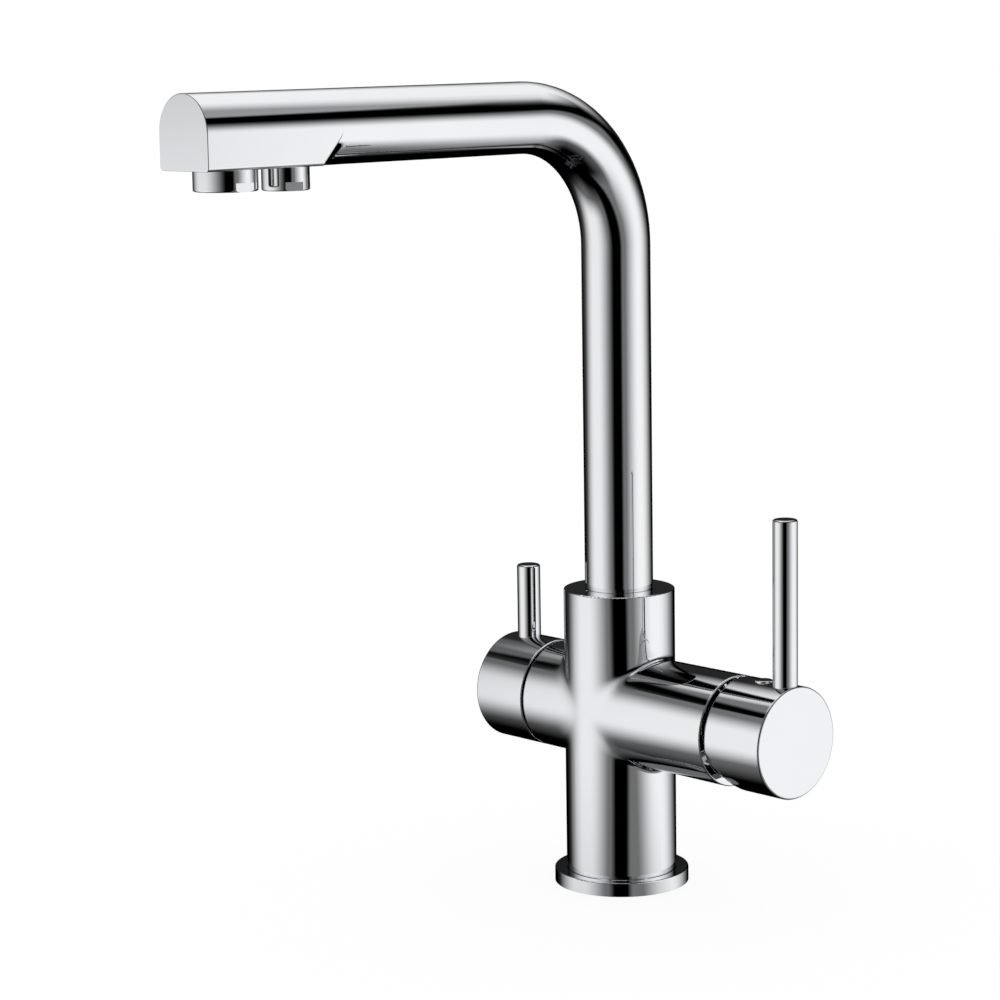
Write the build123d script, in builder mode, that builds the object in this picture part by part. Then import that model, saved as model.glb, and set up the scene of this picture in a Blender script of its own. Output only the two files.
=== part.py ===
from build123d import *
from math import acos, cos, degrees, radians, sin, sqrt, tan
import os

# Three way filtered water tap, in millimetres.
# The origin is the centre of the flange's underside, on the deck. +Z runs up the column, the spout points to -Y,
# the arm of the hot and cold mixer points to +X and the shorter arm of the filtered water valve to -X.

os.makedirs("parts", exist_ok=True)

# ---------------------------------------------------------------------------------------- driving dimensions
# Fits
PLAY = 0.05                 # radial running clearance of what turns in a bore
FIT = 0.05                  # radial clearance of what is screwed or pressed into its own seat
FACE_GAP = 0.1              # gap between flat faces that turn on each other
LOOSE = 0.2                 # clearance of what only has to pass
DRILL_POINT = 0.6           # how far a waterway runs past the one it meets
RUN_OUT = 1.0               # how far a cut runs out of the metal

# Brass body: column, collar and the two side arms
BODY_R = 23.2
ARM_R = 22.8                # also the radius of both handle barrels
BODY_TOP = 125.5
ARM_Z = 75.0                # height of the arms' common axis
MIXER_ARM_END = 66.4
FILTER_ARM_END = 35.5
SADDLE_ROUND = 2.4          # blend where an arm meets the column
COLLAR_ROUND = 0.5          # top edge of the collar
FOOT_CHAMFER = 0.4          # lower edge of the column, the fine dark line above the flange
EDGE_ROUND = 0.5            # broken edges at the gaps of both handles

# Base flange and its seal
FLANGE_R = 28.25
FLANGE_H = 5.9
FLANGE_ROUND = 0.5
SPIGOT_R = 20.0             # the body's foot inside the flange, flush with it below
SEAL_IN_R = 22.4
SEAL_OUT_R = 26.0
SEAL_H = 2.0

# Inlet ports (M10x1) and fixing stud holes (M6) in the body's underside
PORT_CIRCLE_R = 11.0
PORT_TAP_R = 4.5
PORT_DEPTH = 12.0
PORT_ANGLE = 60.0           # hot and cold ports stand this far either side of +X
STUD_CIRCLE_R = 15.5
STUD_TAP_R = 2.5
STUD_DEPTH = 15.0
HOT_COLD_BORE_R = 3.5
FILTER_BORE_R = 3.0

# Spout socket in the collar
SOCKET_R = 11.5
SOCKET_DEPTH = 37.5
SOCKET_FLOOR = BODY_TOP - SOCKET_DEPTH
LINE_SOCKET_R = 4.1         # socket of the filtered water line, in the floor of the big one
LINE_SOCKET_DEPTH = 8.5
LINE_SOCKET_FLOOR = SOCKET_FLOOR - LINE_SOCKET_DEPTH
SLIP_R = 13.6               # low-friction washer under the spout
SLIP_H = 1.2
LOCK_DEPTH = 13.5           # grub screw that keeps the spout down, below the collar's top
LOCK_Z = BODY_TOP - LOCK_DEPTH
LOCK_R = 2.5
LOCK_LENGTH = 10.0
LOCK_TIP_R = 1.6
LOCK_TIP_LENGTH = 1.8
LOCK_TIP_AT = 10.1          # distance of its tip from the column's axis
HEX_KEY = 2.5               # key size of every grub screw

# Spout
TUBE_R = 14.25
TUBE_WALL = 1.3
SPOUT_Z = 322.0             # axis of the level stretch
BEND_R = 53.4
SPOUT_REACH = 219.5
HEAD_LENGTH = 69.5
HEAD_START = SPOUT_REACH - HEAD_LENGTH  # where the tube ends and the cast head begins, from the column's axis
TAIL_FLANGE_H = 0.6
TAIL_SHADOW = 0.4           # the tail flange stands back from the tube by this, as a fine dark line
TAIL_LENGTH = 25.5
TAIL_BORE_R = 7.5
TAIL_PLUG = 12.0
O_RING = 0.88               # section radius of the tail's rings
O_RING_FLOOR_R = 9.6
O_RING_GROOVE = 2.4
O_RING_DEPTHS = (6.0, 21.0)  # below the collar's top
O_RING_Z = tuple(BODY_TOP - depth for depth in O_RING_DEPTHS)
LOCK_GROOVE_FLOOR_R = 9.4
LOCK_GROOVE = 4.4

# Filtered water line inside the spout
LINE_R = 3.2
LINE_BORE_R = 2.15
LINE_DROP = 6.5             # its level stretch runs this far below the spout's axis
CONNECTOR_REST = 1.5        # its tip stands this far off the floor of its socket
CONNECTOR_TIP = LINE_SOCKET_FLOOR + CONNECTOR_REST
CONNECTOR_LENGTH = 15.0
CONNECTOR_TOP = CONNECTOR_TIP + CONNECTOR_LENGTH
CONNECTOR_BARB = 10.0
CONNECTOR_BORE_R = 1.4
FIN_LIFT = 4.0              # its fins begin this far above the floor of the spout socket
FIN_LOW = SOCKET_FLOOR + FIN_LIFT
FIN_WIDTH = 1.6

# Spout head
HEAD_FLAT = 13.7            # flat underside, below the axis
HEAD_SIDE_ROUND = 1.6       # long lower edges, which run on up the heel
HEAD_NOSE_ROUND = 0.35      # edge of the end face
HEAD_SLOPE = 48.0           # rear end of the flat-sided part, from the horizontal
HEAD_COLLAR = 3.1           # round length of the head before that slope, on its axis
HEAD_SLOPE_TOP = HEAD_START + HEAD_COLLAR
HEAD_HEEL_ROUND = 10.0
HEAD_SPIGOT = 7.0
HEAD_END_WALL = 6.0
HEAD_CHANNEL_R = 11.3
HEAD_CHANNEL_FLOOR = 1.7    # below the axis
HEAD_THROAT_R = 6.4
HEAD_THROAT_RISE = 4.7

# Outlets under the head: mixed water in front, filtered water behind
MIXED_INSET = 18.6          # its axis, from the end of the head
MIXED_AT = SPOUT_REACH - MIXED_INSET
MIXED_R = 12.0
MIXED_DROP = 7.9            # how far it hangs below the head
MIXED_THREAD_R = 9.8
MIXED_THREAD_H = 5.7
MIXED_PASSAGE_R = 7.5
MIXED_INSERT_R = 10.1
MIXED_FIELD = (1.2, 3.4)    # its holes: radius and pitch
OUTLET_PITCH = 28.0         # from one outlet's axis to the other's
FILTERED_AT = MIXED_AT - OUTLET_PITCH
FILTERED_R = 9.0
FILTERED_DROP = 8.9
FILTERED_THREAD_R = 6.5
FILTERED_THREAD_H = 3.2
FILTERED_PASSAGE_R = 3.2
FILTERED_INSERT_R = 7.3
FILTERED_FIELD = (0.9, 2.5)
FIELD_ROWS = 2              # rows of holes round the middle one, in both
FILTERED_TURN = -16.6       # its spanner flats stand askew
FLAT_DEPTH = 0.7
FLAT_H = 3.3
OUTLET_ROUND = 0.8
OUTLET_WASHER_H = 1.4
INSERT_RECESS = 0.8
INSERT_H = 4.6

# Mixer cartridge (35 mm), with its seat across the mixer arm
CART_SEAT = 30.0
CART_R = 17.4
CART_BASE_H = 4.0
CART_WALL = 2.2
CART_SHOULDER = 54.0
CART_NECK_R = 12.0
CART_NECK_END = 62.0
SEAT_INLET_R = 3.0
SEAT_INLET_RISE = 2.0
SEAT_OUTLET_R = 3.2
SEAT_OUTLET_DROP = 5.0
OUTLET_RISER_X = 9.0
SEAL_LIP = 1.6
SEAL_RECESS = 1.2
DISC_H = 3.0
DISC_INLET_Y = 5.6
DISC_INLET_RISE = 4.0
DISC_INLET_R = 2.6
MOVING_DISC_R = 10.2
CARRIER_R = 9.5
CARRIER_FLAT = 8.0
PIVOT_X = 58.0              # the handle tilts about a cross pin here
STEM_ARM = 12.0             # from the pin to the ball that drives the disc
BALL_R = 3.0
BALL_PLAY = 0.3
TURRET_R = 9.95
TURRET_GAP = 0.5            # between the disc carrier and the turret's foot
TURRET_END = 64.0
TURRET_FLANGE_R = 13.5
TURRET_FLANGE_H = 1.5
SLOT_HALF_WIDTH = 3.1
SLOT_HALF_LENGTH = 7.8
EAR_INNER = 8.3
EAR_OUTER = 10.5
EAR_HALF_LENGTH = 5.0
EAR_START = 42.0
PIN_R = 1.5
PIN_HALF_LENGTH = 9.7       # shorter than the turret's radius, so that it clears the housing
STEM_SQUARE = 8.0
STEM_WAIST = 7.0            # its flat tongue, across the pin
STEM_SQUARE_START = 67.5
STEM_END = 88.0
STEM_NECK_R = 2.3
STEM_TONGUE = 5.8
NUT_END = 60.5
NUT_NOSE_R = 15.5
NUT_NOSE_END = 62.5
NUT_SLOTS = 6
NUT_SLOT = 3.0

# Trim dome, a sphere about the tilt pivot
DOME_R = 19.5
DOME_WALL = 1.2
DOME_OPENING_R = 12.2
DOME_GAP = 0.1              # round the dome, in the threaded mouth of the mixer arm
MOUTH_R = DOME_R + DOME_GAP

# Mixer handle
MIXER_BARREL_START = 69.1
MIXER_BARREL_END = 98.1
BARREL_WALL = 2.8
BARREL_END_WALL = 3.0
BARREL_ROUND = 0.9
BARREL_RIM_ROUND = 0.5      # its open edge, at the gap
RELIEF_ANGLE = 27.0         # lower inner edge, cut back so that the handle can tilt
RELIEF_DROP = 3.3
MIXER_BOSS_START = 77.3
MIXER_BOSS_R = 9.5
WEB_HALF_WIDTH = 7.0
LEVER_R = 5.0
LEVER_ROUND = 1.0
LEVER_SEAT = 18.0           # foot of a lever rod, from the arms' axis
LEVER_STUD_R = 3.0
LEVER_STUD_DEPTH = 8.0
MIXER_LEVER_X = 92.2
MIXER_LEVER_TOP = 164.6
PLUG_X = 80.9
PLUG_R = 3.6
PLUG_DEPTH = 3.4
PLUG_PROUD = 0.5
GRUB_R = 2.5
GRUB_LENGTH = 8.0

# Filtered water valve (quarter turn headwork), seat across the filter arm
FILTER_SEAT = 15.5
FILTER_BORE_SEAT_R = 3.2
VALVE_BORE_R = 10.4
VALVE_MOUTH_R = 17.0
VALVE_MOUTH_START = 27.5
SEAT_WASHER_R = 8.6
SEAT_WASHER_BORE_R = 4.0
SEAT_WASHER_H = 1.5
NOSE_R = 8.8
NOSE_BORE_R = 7.6
THREAD_START = 24.6
HEX_ACROSS = 22.0
HEX_H = 6.0
NECK_R = 7.0
NECK_END = 36.0
FILTER_DISC_R = 7.5
FILTER_DISC_H = 2.2
FILTER_DISC_HOLE_R = 2.2
FILTER_DISC_HOLE_AT = 4.2
SPINDLE_R = 4.05
SPINDLE_FOOT_R = 7.4
SPINDLE_FOOT_END = 24.9
SPINDLE_SHAFT_END = 37.5
SPINDLE_SQUARE = 7.0
SPINDLE_END = 53.0
SPINDLE_GROOVE_AT = 30.0
SPINDLE_GROOVE = 2.0
SPINDLE_GROOVE_R = 2.9
CLIP_R = 5.6
CLIP_GROOVE_R = 3.3
CLIP_H = 0.8

# Filter handle
FILTER_BARREL_START = 37.0
FILTER_BARREL_END = 64.6
FILTER_BOSS_START = 39.5
FILTER_BOSS_R = 8.5
FILTER_LEVER_X = 54.7
FILTER_LEVER_TOP = 128.8
FILTER_GRUB_X = 45.5
FILTER_WEB_START = 41.0
FILTER_GRUB_R = 2.0
FILTER_GRUB_LENGTH = 7.0

# ---------------------------------------------------------------------------------------- planes and axes
column = Plane.XY
mixer_arm = Plane(origin=(0, 0, ARM_Z), x_dir=(0, 1, 0), z_dir=(1, 0, 0))
filter_arm = Plane(origin=(0, 0, ARM_Z), x_dir=(0, -1, 0), z_dir=(-1, 0, 0))
mixer_side = Plane(origin=(0, 0, ARM_Z), x_dir=(1, 0, 0), z_dir=(0, -1, 0))
rear = Plane(origin=(0, 0, LOCK_Z), x_dir=(-1, 0, 0), z_dir=(0, 1, 0))
head_axis = Plane(origin=(0, 0, SPOUT_Z), x_dir=(1, 0, 0), z_dir=(0, -1, 0))
side_view = Plane.YZ
mixer_lever_axis = Plane(origin=(MIXER_LEVER_X, 0, ARM_Z), z_dir=(0, 0, 1))
plug_axis = Plane(origin=(PLUG_X, 0, ARM_Z), z_dir=(0, 0, 1))
filter_lever_axis = Plane(origin=(-FILTER_LEVER_X, 0, ARM_Z), z_dir=(0, 0, 1))
filter_grub_axis = Plane(origin=(-FILTER_GRUB_X, 0, ARM_Z), z_dir=(0, 0, -1))
mixed_axis = Plane(origin=(0, -MIXED_AT, 0), z_dir=(0, 0, 1))
filtered_axis = Plane(origin=(0, -FILTERED_AT, 0), z_dir=(0, 0, 1)).rotated((0, 0, FILTERED_TURN))

hot_cold_x = PORT_CIRCLE_R * cos(radians(PORT_ANGLE))
hot_cold_y = PORT_CIRCLE_R * sin(radians(PORT_ANGLE))
stud_x = -STUD_CIRCLE_R * cos(radians(PORT_ANGLE))
stud_y = STUD_CIRCLE_R * sin(radians(PORT_ANGLE))
tube_foot = BODY_TOP + FACE_GAP + TAIL_FLANGE_H
tube_bore_r = TUBE_R - TUBE_WALL
bend_start = SPOUT_Z - BEND_R
head_bottom = SPOUT_Z - HEAD_FLAT
line_z = SPOUT_Z - LINE_DROP
mixed_low = head_bottom - MIXED_DROP
filtered_low = head_bottom - FILTERED_DROP


# ---------------------------------------------------------------------------------------- shared operations
def sleeve(plane, start, end, outer, inner=0.0, mode=Mode.ADD):
    """A round sleeve, or a rod where inner is 0, from start to end along the plane's normal."""
    with BuildSketch(plane.offset(start)) as ring:
        Circle(outer)
        if inner > 0:
            Circle(inner, mode=Mode.SUBTRACT)
    extrude(ring.sketch, amount=end - start, mode=mode)


def bore(plane, start, end, radius):
    """A round hole from start to end along the plane's normal."""
    sleeve(plane, start, end, radius, mode=Mode.SUBTRACT)


def drill(start, end, radius):
    """A straight round passage between two points."""
    way = Vector(*end) - Vector(*start)
    with BuildSketch(Plane(origin=start, z_dir=way)) as mouth:
        Circle(radius)
    extrude(mouth.sketch, amount=way.length, mode=Mode.SUBTRACT)


def key_socket(plane, end, key, depth):
    """A hexagon socket sunk into the face at end."""
    with BuildSketch(plane.offset(end - depth)) as hexagon:
        RegularPolygon(radius=key / 2, side_count=6, major_radius=False)
    extrude(hexagon.sketch, amount=depth, mode=Mode.SUBTRACT)


def spin_ring(plane, middle, radius, section):
    """A round-section ring: middle is its place along the plane's normal."""
    across = Plane(origin=plane.origin, x_dir=plane.x_dir, z_dir=-plane.y_dir)
    with BuildSketch(across) as cut:
        with Locations((radius, middle)):
            Circle(section)
    revolve(cut.sketch, axis=Axis(plane.origin, plane.z_dir))


# ---------------------------------------------------------------------------------------- brass body
# One casting: foot spigot, column, collar and both arms, with the bores and waterways that it needs.
with BuildPart() as body_casting:
    sleeve(column, FLANGE_H, BODY_TOP, BODY_R)
    sleeve(mixer_arm, -FILTER_ARM_END, MIXER_ARM_END, ARM_R)
    fillet(body_casting.edges(Select.NEW), SADDLE_ROUND)
    rims = [body_casting.faces().sort_by(Axis.X)[place].edges() for place in (0, -1)]
    fillet(rims[0] + rims[1], EDGE_ROUND)
    fillet(body_casting.faces().sort_by(Axis.Z)[-1].edges(), COLLAR_ROUND)
    chamfer(body_casting.faces().sort_by(Axis.Z)[0].edges(), FOOT_CHAMFER)
    sleeve(column, 0, FLANGE_H, SPIGOT_R)

    # underside: three tapped inlets on one circle and two tapped stud holes
    inlet_top = ARM_Z + SEAT_INLET_RISE + SEAT_INLET_R + DRILL_POINT
    for port_x, port_y, riser_r, riser_top in (
        (hot_cold_x, hot_cold_y, HOT_COLD_BORE_R, inlet_top),
        (hot_cold_x, -hot_cold_y, HOT_COLD_BORE_R, inlet_top),
        (-PORT_CIRCLE_R, 0, FILTER_BORE_R, ARM_Z + FILTER_BORE_R / 2),
    ):
        port = Plane(origin=(port_x, port_y, 0))
        bore(port, 0, PORT_DEPTH, PORT_TAP_R)
        bore(port, 0, riser_top, riser_r)
    for side in (1, -1):
        bore(Plane(origin=(stud_x, side * stud_y, 0)), 0, STUD_DEPTH, STUD_TAP_R)

    # collar: spout socket, washer recess, socket of the filtered line, lock screw hole at the back
    bore(column, SOCKET_FLOOR, BODY_TOP, SOCKET_R)
    bore(column, BODY_TOP - SLIP_H, BODY_TOP, SLIP_R + FIT)
    bore(column, LINE_SOCKET_FLOOR, SOCKET_FLOOR, LINE_SOCKET_R)
    bore(rear, 0, BODY_R, LOCK_R + FIT)

    # mixer arm: cartridge bore, threaded mouth, hot and cold ways to the seat, mixed water back to the spout
    bore(mixer_arm, CART_SEAT, MIXER_ARM_END, CART_R + FIT)
    bore(mixer_arm, CART_SHOULDER - FACE_GAP, MIXER_ARM_END, MOUTH_R)
    for side in (1, -1):
        inlet_z = ARM_Z + SEAT_INLET_RISE
        drill((CART_SEAT, side * hot_cold_y, inlet_z), (hot_cold_x, side * hot_cold_y, inlet_z), SEAT_INLET_R)
    outlet_z = ARM_Z - SEAT_OUTLET_DROP
    drill((CART_SEAT, 0, outlet_z), (OUTLET_RISER_X - SEAT_OUTLET_R, 0, outlet_z), SEAT_OUTLET_R)
    drill((OUTLET_RISER_X, 0, outlet_z), (OUTLET_RISER_X, 0, SOCKET_FLOOR), SEAT_OUTLET_R)

    # filter arm: valve bore, spanner room at the mouth, way in through the seat and way out to the line socket
    bore(filter_arm, FILTER_SEAT, FILTER_ARM_END, VALVE_BORE_R + FIT)
    bore(filter_arm, VALVE_MOUTH_START, FILTER_ARM_END, VALVE_MOUTH_R)
    bore(filter_arm, PORT_CIRCLE_R, FILTER_SEAT, FILTER_BORE_SEAT_R)
    line_inlet = (LINE_SOCKET_FLOOR + SOCKET_FLOOR) / 2 - FILTER_BORE_R / 2
    drill((-FILTER_SEAT - FILTER_BORE_R, 0, ARM_Z + VALVE_BORE_R), (0, 0, line_inlet), FILTER_BORE_R / 2)
body_casting.part.label = "body_casting"
export_step(body_casting.part, "parts/body_casting.step")

# Chromed ring round the foot, grooved below for its seal.
with BuildPart() as base_flange:
    sleeve(column, 0, FLANGE_H, FLANGE_R, SPIGOT_R + FIT)
    outer_edges = base_flange.edges().filter_by(GeomType.CIRCLE).sort_by(SortBy.RADIUS)[-2:]
    fillet(outer_edges.sort_by(Axis.Z)[-1], FLANGE_ROUND)
    sleeve(column, 0, SEAL_H, SEAL_OUT_R, SEAL_IN_R, mode=Mode.SUBTRACT)
base_flange.part.label = "base_flange"
export_step(base_flange.part, "parts/base_flange.step")

with BuildPart() as base_seal:
    sleeve(column, 0, SEAL_H, SEAL_OUT_R - FIT, SEAL_IN_R + FIT)
base_seal.part.label = "base_seal"
export_step(base_seal.part, "parts/base_seal.step")

# Low-friction washer, sunk in the collar, that the spout turns on.
with BuildPart() as spout_slip_washer:
    sleeve(column, BODY_TOP - SLIP_H, BODY_TOP, SLIP_R, SOCKET_R + FIT)
spout_slip_washer.part.label = "spout_slip_washer"
export_step(spout_slip_washer.part, "parts/spout_slip_washer.step")

# Dog-point grub screw in the back of the collar; its tip runs in the groove of the spout's tail.
with BuildPart() as spout_lock_screw:
    lock_shoulder = LOCK_TIP_AT + LOCK_TIP_LENGTH
    sleeve(rear, LOCK_TIP_AT, lock_shoulder, LOCK_TIP_R)
    sleeve(rear, lock_shoulder, LOCK_TIP_AT + LOCK_LENGTH, LOCK_R)
    key_socket(rear, LOCK_TIP_AT + LOCK_LENGTH, HEX_KEY, HEX_KEY)
spout_lock_screw.part.label = "spout_lock_screw"
export_step(spout_lock_screw.part, "parts/spout_lock_screw.step")

# ---------------------------------------------------------------------------------------- mixer cartridge
cart_floor = CART_SEAT + CART_BASE_H
disc_face = cart_floor + DISC_H
carrier_start = disc_face + FACE_GAP + DISC_H
ball_x = PIVOT_X - STEM_ARM
carrier_end = ball_x + BALL_R * 0.25
turret_start = carrier_end + TURRET_GAP
cavity_r = CART_R - CART_WALL
cavity_end = turret_start + TURRET_FLANGE_H + LOOSE
seat_ports = (
    (hot_cold_y, SEAT_INLET_RISE, SEAT_INLET_R),
    (-hot_cold_y, SEAT_INLET_RISE, SEAT_INLET_R),
    (0, -SEAT_OUTLET_DROP, SEAT_OUTLET_R),
)
disc_ports = (
    (DISC_INLET_Y, DISC_INLET_RISE, DISC_INLET_R),
    (-DISC_INLET_Y, DISC_INLET_RISE, DISC_INLET_R),
    (0, -SEAT_OUTLET_DROP, SEAT_OUTLET_R),
)

# Moulded base: three sealed ports below, led inwards to the ports of the discs.
with BuildPart() as cartridge_base:
    sleeve(mixer_arm, CART_SEAT, cart_floor, CART_R)
    for (low_y, low_z, low_r), (top_y, top_z, top_r) in zip(seat_ports, disc_ports):
        drill((CART_SEAT, low_y, ARM_Z + low_z), (cart_floor, top_y, ARM_Z + top_z), min(low_r, top_r))
        seal_seat = Plane(origin=(0, low_y, ARM_Z + low_z), x_dir=(0, 1, 0), z_dir=(1, 0, 0))
        bore(seal_seat, CART_SEAT, CART_SEAT + SEAL_RECESS, low_r + SEAL_LIP)
cartridge_base.part.label = "cartridge_base"
export_step(cartridge_base.part, "parts/cartridge_base.step")

# Three rubber seals between that base and the seat in the arm.
with BuildPart() as cartridge_seals:
    for low_y, low_z, low_r in seat_ports:
        seal_seat = Plane(origin=(0, low_y, ARM_Z + low_z), x_dir=(0, 1, 0), z_dir=(1, 0, 0))
        sleeve(seal_seat, CART_SEAT, CART_SEAT + SEAL_RECESS, low_r + SEAL_LIP - FIT, low_r)
cartridge_seals.part.label = "cartridge_seals"
export_step(cartridge_seals.part, "parts/cartridge_seals.step")

with BuildPart() as fixed_ceramic_disc:
    sleeve(mixer_arm, cart_floor, disc_face, cavity_r - FIT)
    for port_y, port_z, port_r in disc_ports:
        drill((cart_floor, port_y, ARM_Z + port_z), (disc_face, port_y, ARM_Z + port_z), port_r)
fixed_ceramic_disc.part.label = "fixed_ceramic_disc"
export_step(fixed_ceramic_disc.part, "parts/fixed_ceramic_disc.step")

# Sliding disc: the pocket in its face joins the inlets to the outlet once the stem pushes it up.
with BuildPart() as moving_ceramic_disc:
    sleeve(mixer_arm, disc_face + FACE_GAP, carrier_start, MOVING_DISC_R)
    pocket_top = DISC_INLET_RISE - DISC_INLET_R - 0.5
    pocket_low = SEAT_OUTLET_DROP + SEAT_OUTLET_R
    with BuildSketch(mixer_arm.offset(disc_face + FACE_GAP)) as pocket:
        with Locations((0, (pocket_top - pocket_low) / 2)):
            RectangleRounded(2 * DISC_INLET_Y, pocket_top + pocket_low, DISC_INLET_R)
    extrude(pocket.sketch, amount=DISC_H / 2, mode=Mode.SUBTRACT)
moving_ceramic_disc.part.label = "moving_ceramic_disc"
export_step(moving_ceramic_disc.part, "parts/moving_ceramic_disc.step")

# Carrier that holds the sliding disc; the stem's ball works in its cup and two flats guide it.
with BuildPart() as disc_carrier:
    with BuildSketch(mixer_arm.offset(carrier_start)) as outline:
        Circle(CARRIER_R)
        Rectangle(2 * CARRIER_FLAT, 2 * CARRIER_R, mode=Mode.INTERSECT)
    extrude(outline.sketch, amount=carrier_end - carrier_start)
    bore(mixer_arm, ball_x - BALL_R - BALL_PLAY, carrier_end, BALL_R + BALL_PLAY)
disc_carrier.part.label = "disc_carrier"
export_step(disc_carrier.part, "parts/disc_carrier.step")

# Housing: the cup that presses on the discs, the shoulder under the nut and the neck round the turret.
with BuildPart() as cartridge_housing:
    sleeve(mixer_arm, cart_floor, cavity_end, CART_R, cavity_r)
    sleeve(mixer_arm, cavity_end, CART_SHOULDER, CART_R, TURRET_R + PLAY)
    sleeve(mixer_arm, CART_SHOULDER, CART_NECK_END, CART_NECK_R, TURRET_R + PLAY)
cartridge_housing.part.label = "cartridge_housing"
export_step(cartridge_housing.part, "parts/cartridge_housing.step")

# Turret: turns in the neck for temperature, carries the pin and leads the disc carrier between two ears.
with BuildPart() as cartridge_turret:
    sleeve(mixer_arm, turret_start, turret_start + TURRET_FLANGE_H, TURRET_FLANGE_R)
    sleeve(mixer_arm, turret_start, TURRET_END, TURRET_R)
    ear_width = EAR_OUTER - EAR_INNER
    with BuildSketch(mixer_arm.offset(EAR_START)) as ears:
        with Locations(((EAR_INNER + EAR_OUTER) / 2, 0), (-(EAR_INNER + EAR_OUTER) / 2, 0)):
            Rectangle(ear_width, 2 * EAR_HALF_LENGTH)
    extrude(ears.sketch, amount=turret_start - EAR_START)
    with BuildSketch(mixer_arm.offset(turret_start)) as slot:
        Rectangle(2 * SLOT_HALF_WIDTH, 2 * SLOT_HALF_LENGTH)
    extrude(slot.sketch, amount=TURRET_END - turret_start, mode=Mode.SUBTRACT)
    drill((PIVOT_X, -TURRET_R, ARM_Z), (PIVOT_X, TURRET_R, ARM_Z), PIN_R + FIT)
cartridge_turret.part.label = "cartridge_turret"
export_step(cartridge_turret.part, "parts/cartridge_turret.step")

across_pivot = Plane(origin=(PIVOT_X, 0, ARM_Z), x_dir=(1, 0, 0), z_dir=(0, -1, 0))
with BuildPart() as stem_pin:
    sleeve(across_pivot, -PIN_HALF_LENGTH, PIN_HALF_LENGTH, PIN_R)
stem_pin.part.label = "stem_pin"
export_step(stem_pin.part, "parts/stem_pin.step")

# Stem: ball, thin neck, flat tongue on the pin and the square that the handle sits on.
with BuildPart() as cartridge_stem:
    with Locations((ball_x, 0, ARM_Z)):
        Sphere(BALL_R)
    sleeve(mixer_arm, ball_x, PIVOT_X, STEM_NECK_R)
    with BuildSketch(mixer_side) as tongue:
        with Locations((PIVOT_X, 0)):
            Circle(STEM_SQUARE / 2)
        with Locations(((PIVOT_X + STEM_SQUARE_START) / 2, 0)):
            Rectangle(STEM_SQUARE_START - PIVOT_X, STEM_WAIST)
    extrude(tongue.sketch, amount=STEM_TONGUE / 2, both=True)
    with BuildSketch(mixer_arm.offset(STEM_SQUARE_START)) as square:
        Rectangle(STEM_SQUARE, STEM_SQUARE)
    extrude(square.sketch, amount=STEM_END - STEM_SQUARE_START)
    chamfer(cartridge_stem.faces().sort_by(Axis.X)[-1].edges(), 0.6)
    drill((PIVOT_X, -STEM_TONGUE, ARM_Z), (PIVOT_X, STEM_TONGUE, ARM_Z), PIN_R + PLAY)
cartridge_stem.part.label = "cartridge_stem"
export_step(cartridge_stem.part, "parts/cartridge_stem.step")

# Ring nut that clamps the cartridge, slotted for a spanner.
with BuildPart() as cartridge_nut:
    sleeve(mixer_arm, CART_SHOULDER, NUT_END, MOUTH_R - FIT, CART_NECK_R + FIT)
    sleeve(mixer_arm, NUT_END, NUT_NOSE_END, NUT_NOSE_R, CART_NECK_R + FIT)
    with BuildSketch(mixer_arm.offset(NUT_END)) as slots:
        with PolarLocations(NUT_NOSE_R, NUT_SLOTS):
            Rectangle(NUT_SLOT, NUT_SLOT)
    extrude(slots.sketch, amount=NUT_NOSE_END - NUT_END, mode=Mode.SUBTRACT)
cartridge_nut.part.label = "cartridge_nut"
export_step(cartridge_nut.part, "parts/cartridge_nut.step")

# Trim dome: a spherical cap about the pivot, so that the handle swings over it with an even gap.
dome_inner_r = DOME_R - DOME_WALL


def on_dome(radius, angle):
    """A point of the dome's section, at an angle from the arm's axis."""
    return (PIVOT_X + radius * cos(radians(angle)), radius * sin(radians(angle)))


with BuildPart() as mixer_trim_dome:
    foot_angle = degrees(acos((NUT_END - PIVOT_X) / DOME_R))
    step_angle = degrees(acos((NUT_NOSE_END - PIVOT_X) / dome_inner_r))
    lip_angle = degrees(acos(sqrt(DOME_R**2 - DOME_OPENING_R**2) / DOME_R))
    inner_lip_angle = degrees(acos(sqrt(dome_inner_r**2 - DOME_OPENING_R**2) / dome_inner_r))
    with BuildSketch(mixer_side):
        with BuildLine():
            CenterArc((PIVOT_X, 0), DOME_R, lip_angle, foot_angle - lip_angle)
            Polyline(
                on_dome(DOME_R, foot_angle),
                (NUT_END, NUT_NOSE_R + FIT),
                (NUT_NOSE_END, NUT_NOSE_R + FIT),
                on_dome(dome_inner_r, step_angle),
            )
            CenterArc((PIVOT_X, 0), dome_inner_r, inner_lip_angle, step_angle - inner_lip_angle)
            Line(on_dome(dome_inner_r, inner_lip_angle), on_dome(DOME_R, lip_angle))
        make_face()
    revolve(axis=Axis((0, 0, ARM_Z), (1, 0, 0)))
mixer_trim_dome.part.label = "mixer_trim_dome"
export_step(mixer_trim_dome.part, "parts/mixer_trim_dome.step")

# ---------------------------------------------------------------------------------------- mixer handle
barrel_bore_r = ARM_R - BARREL_WALL
lever_stud_end = LEVER_SEAT - LEVER_STUD_DEPTH

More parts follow.
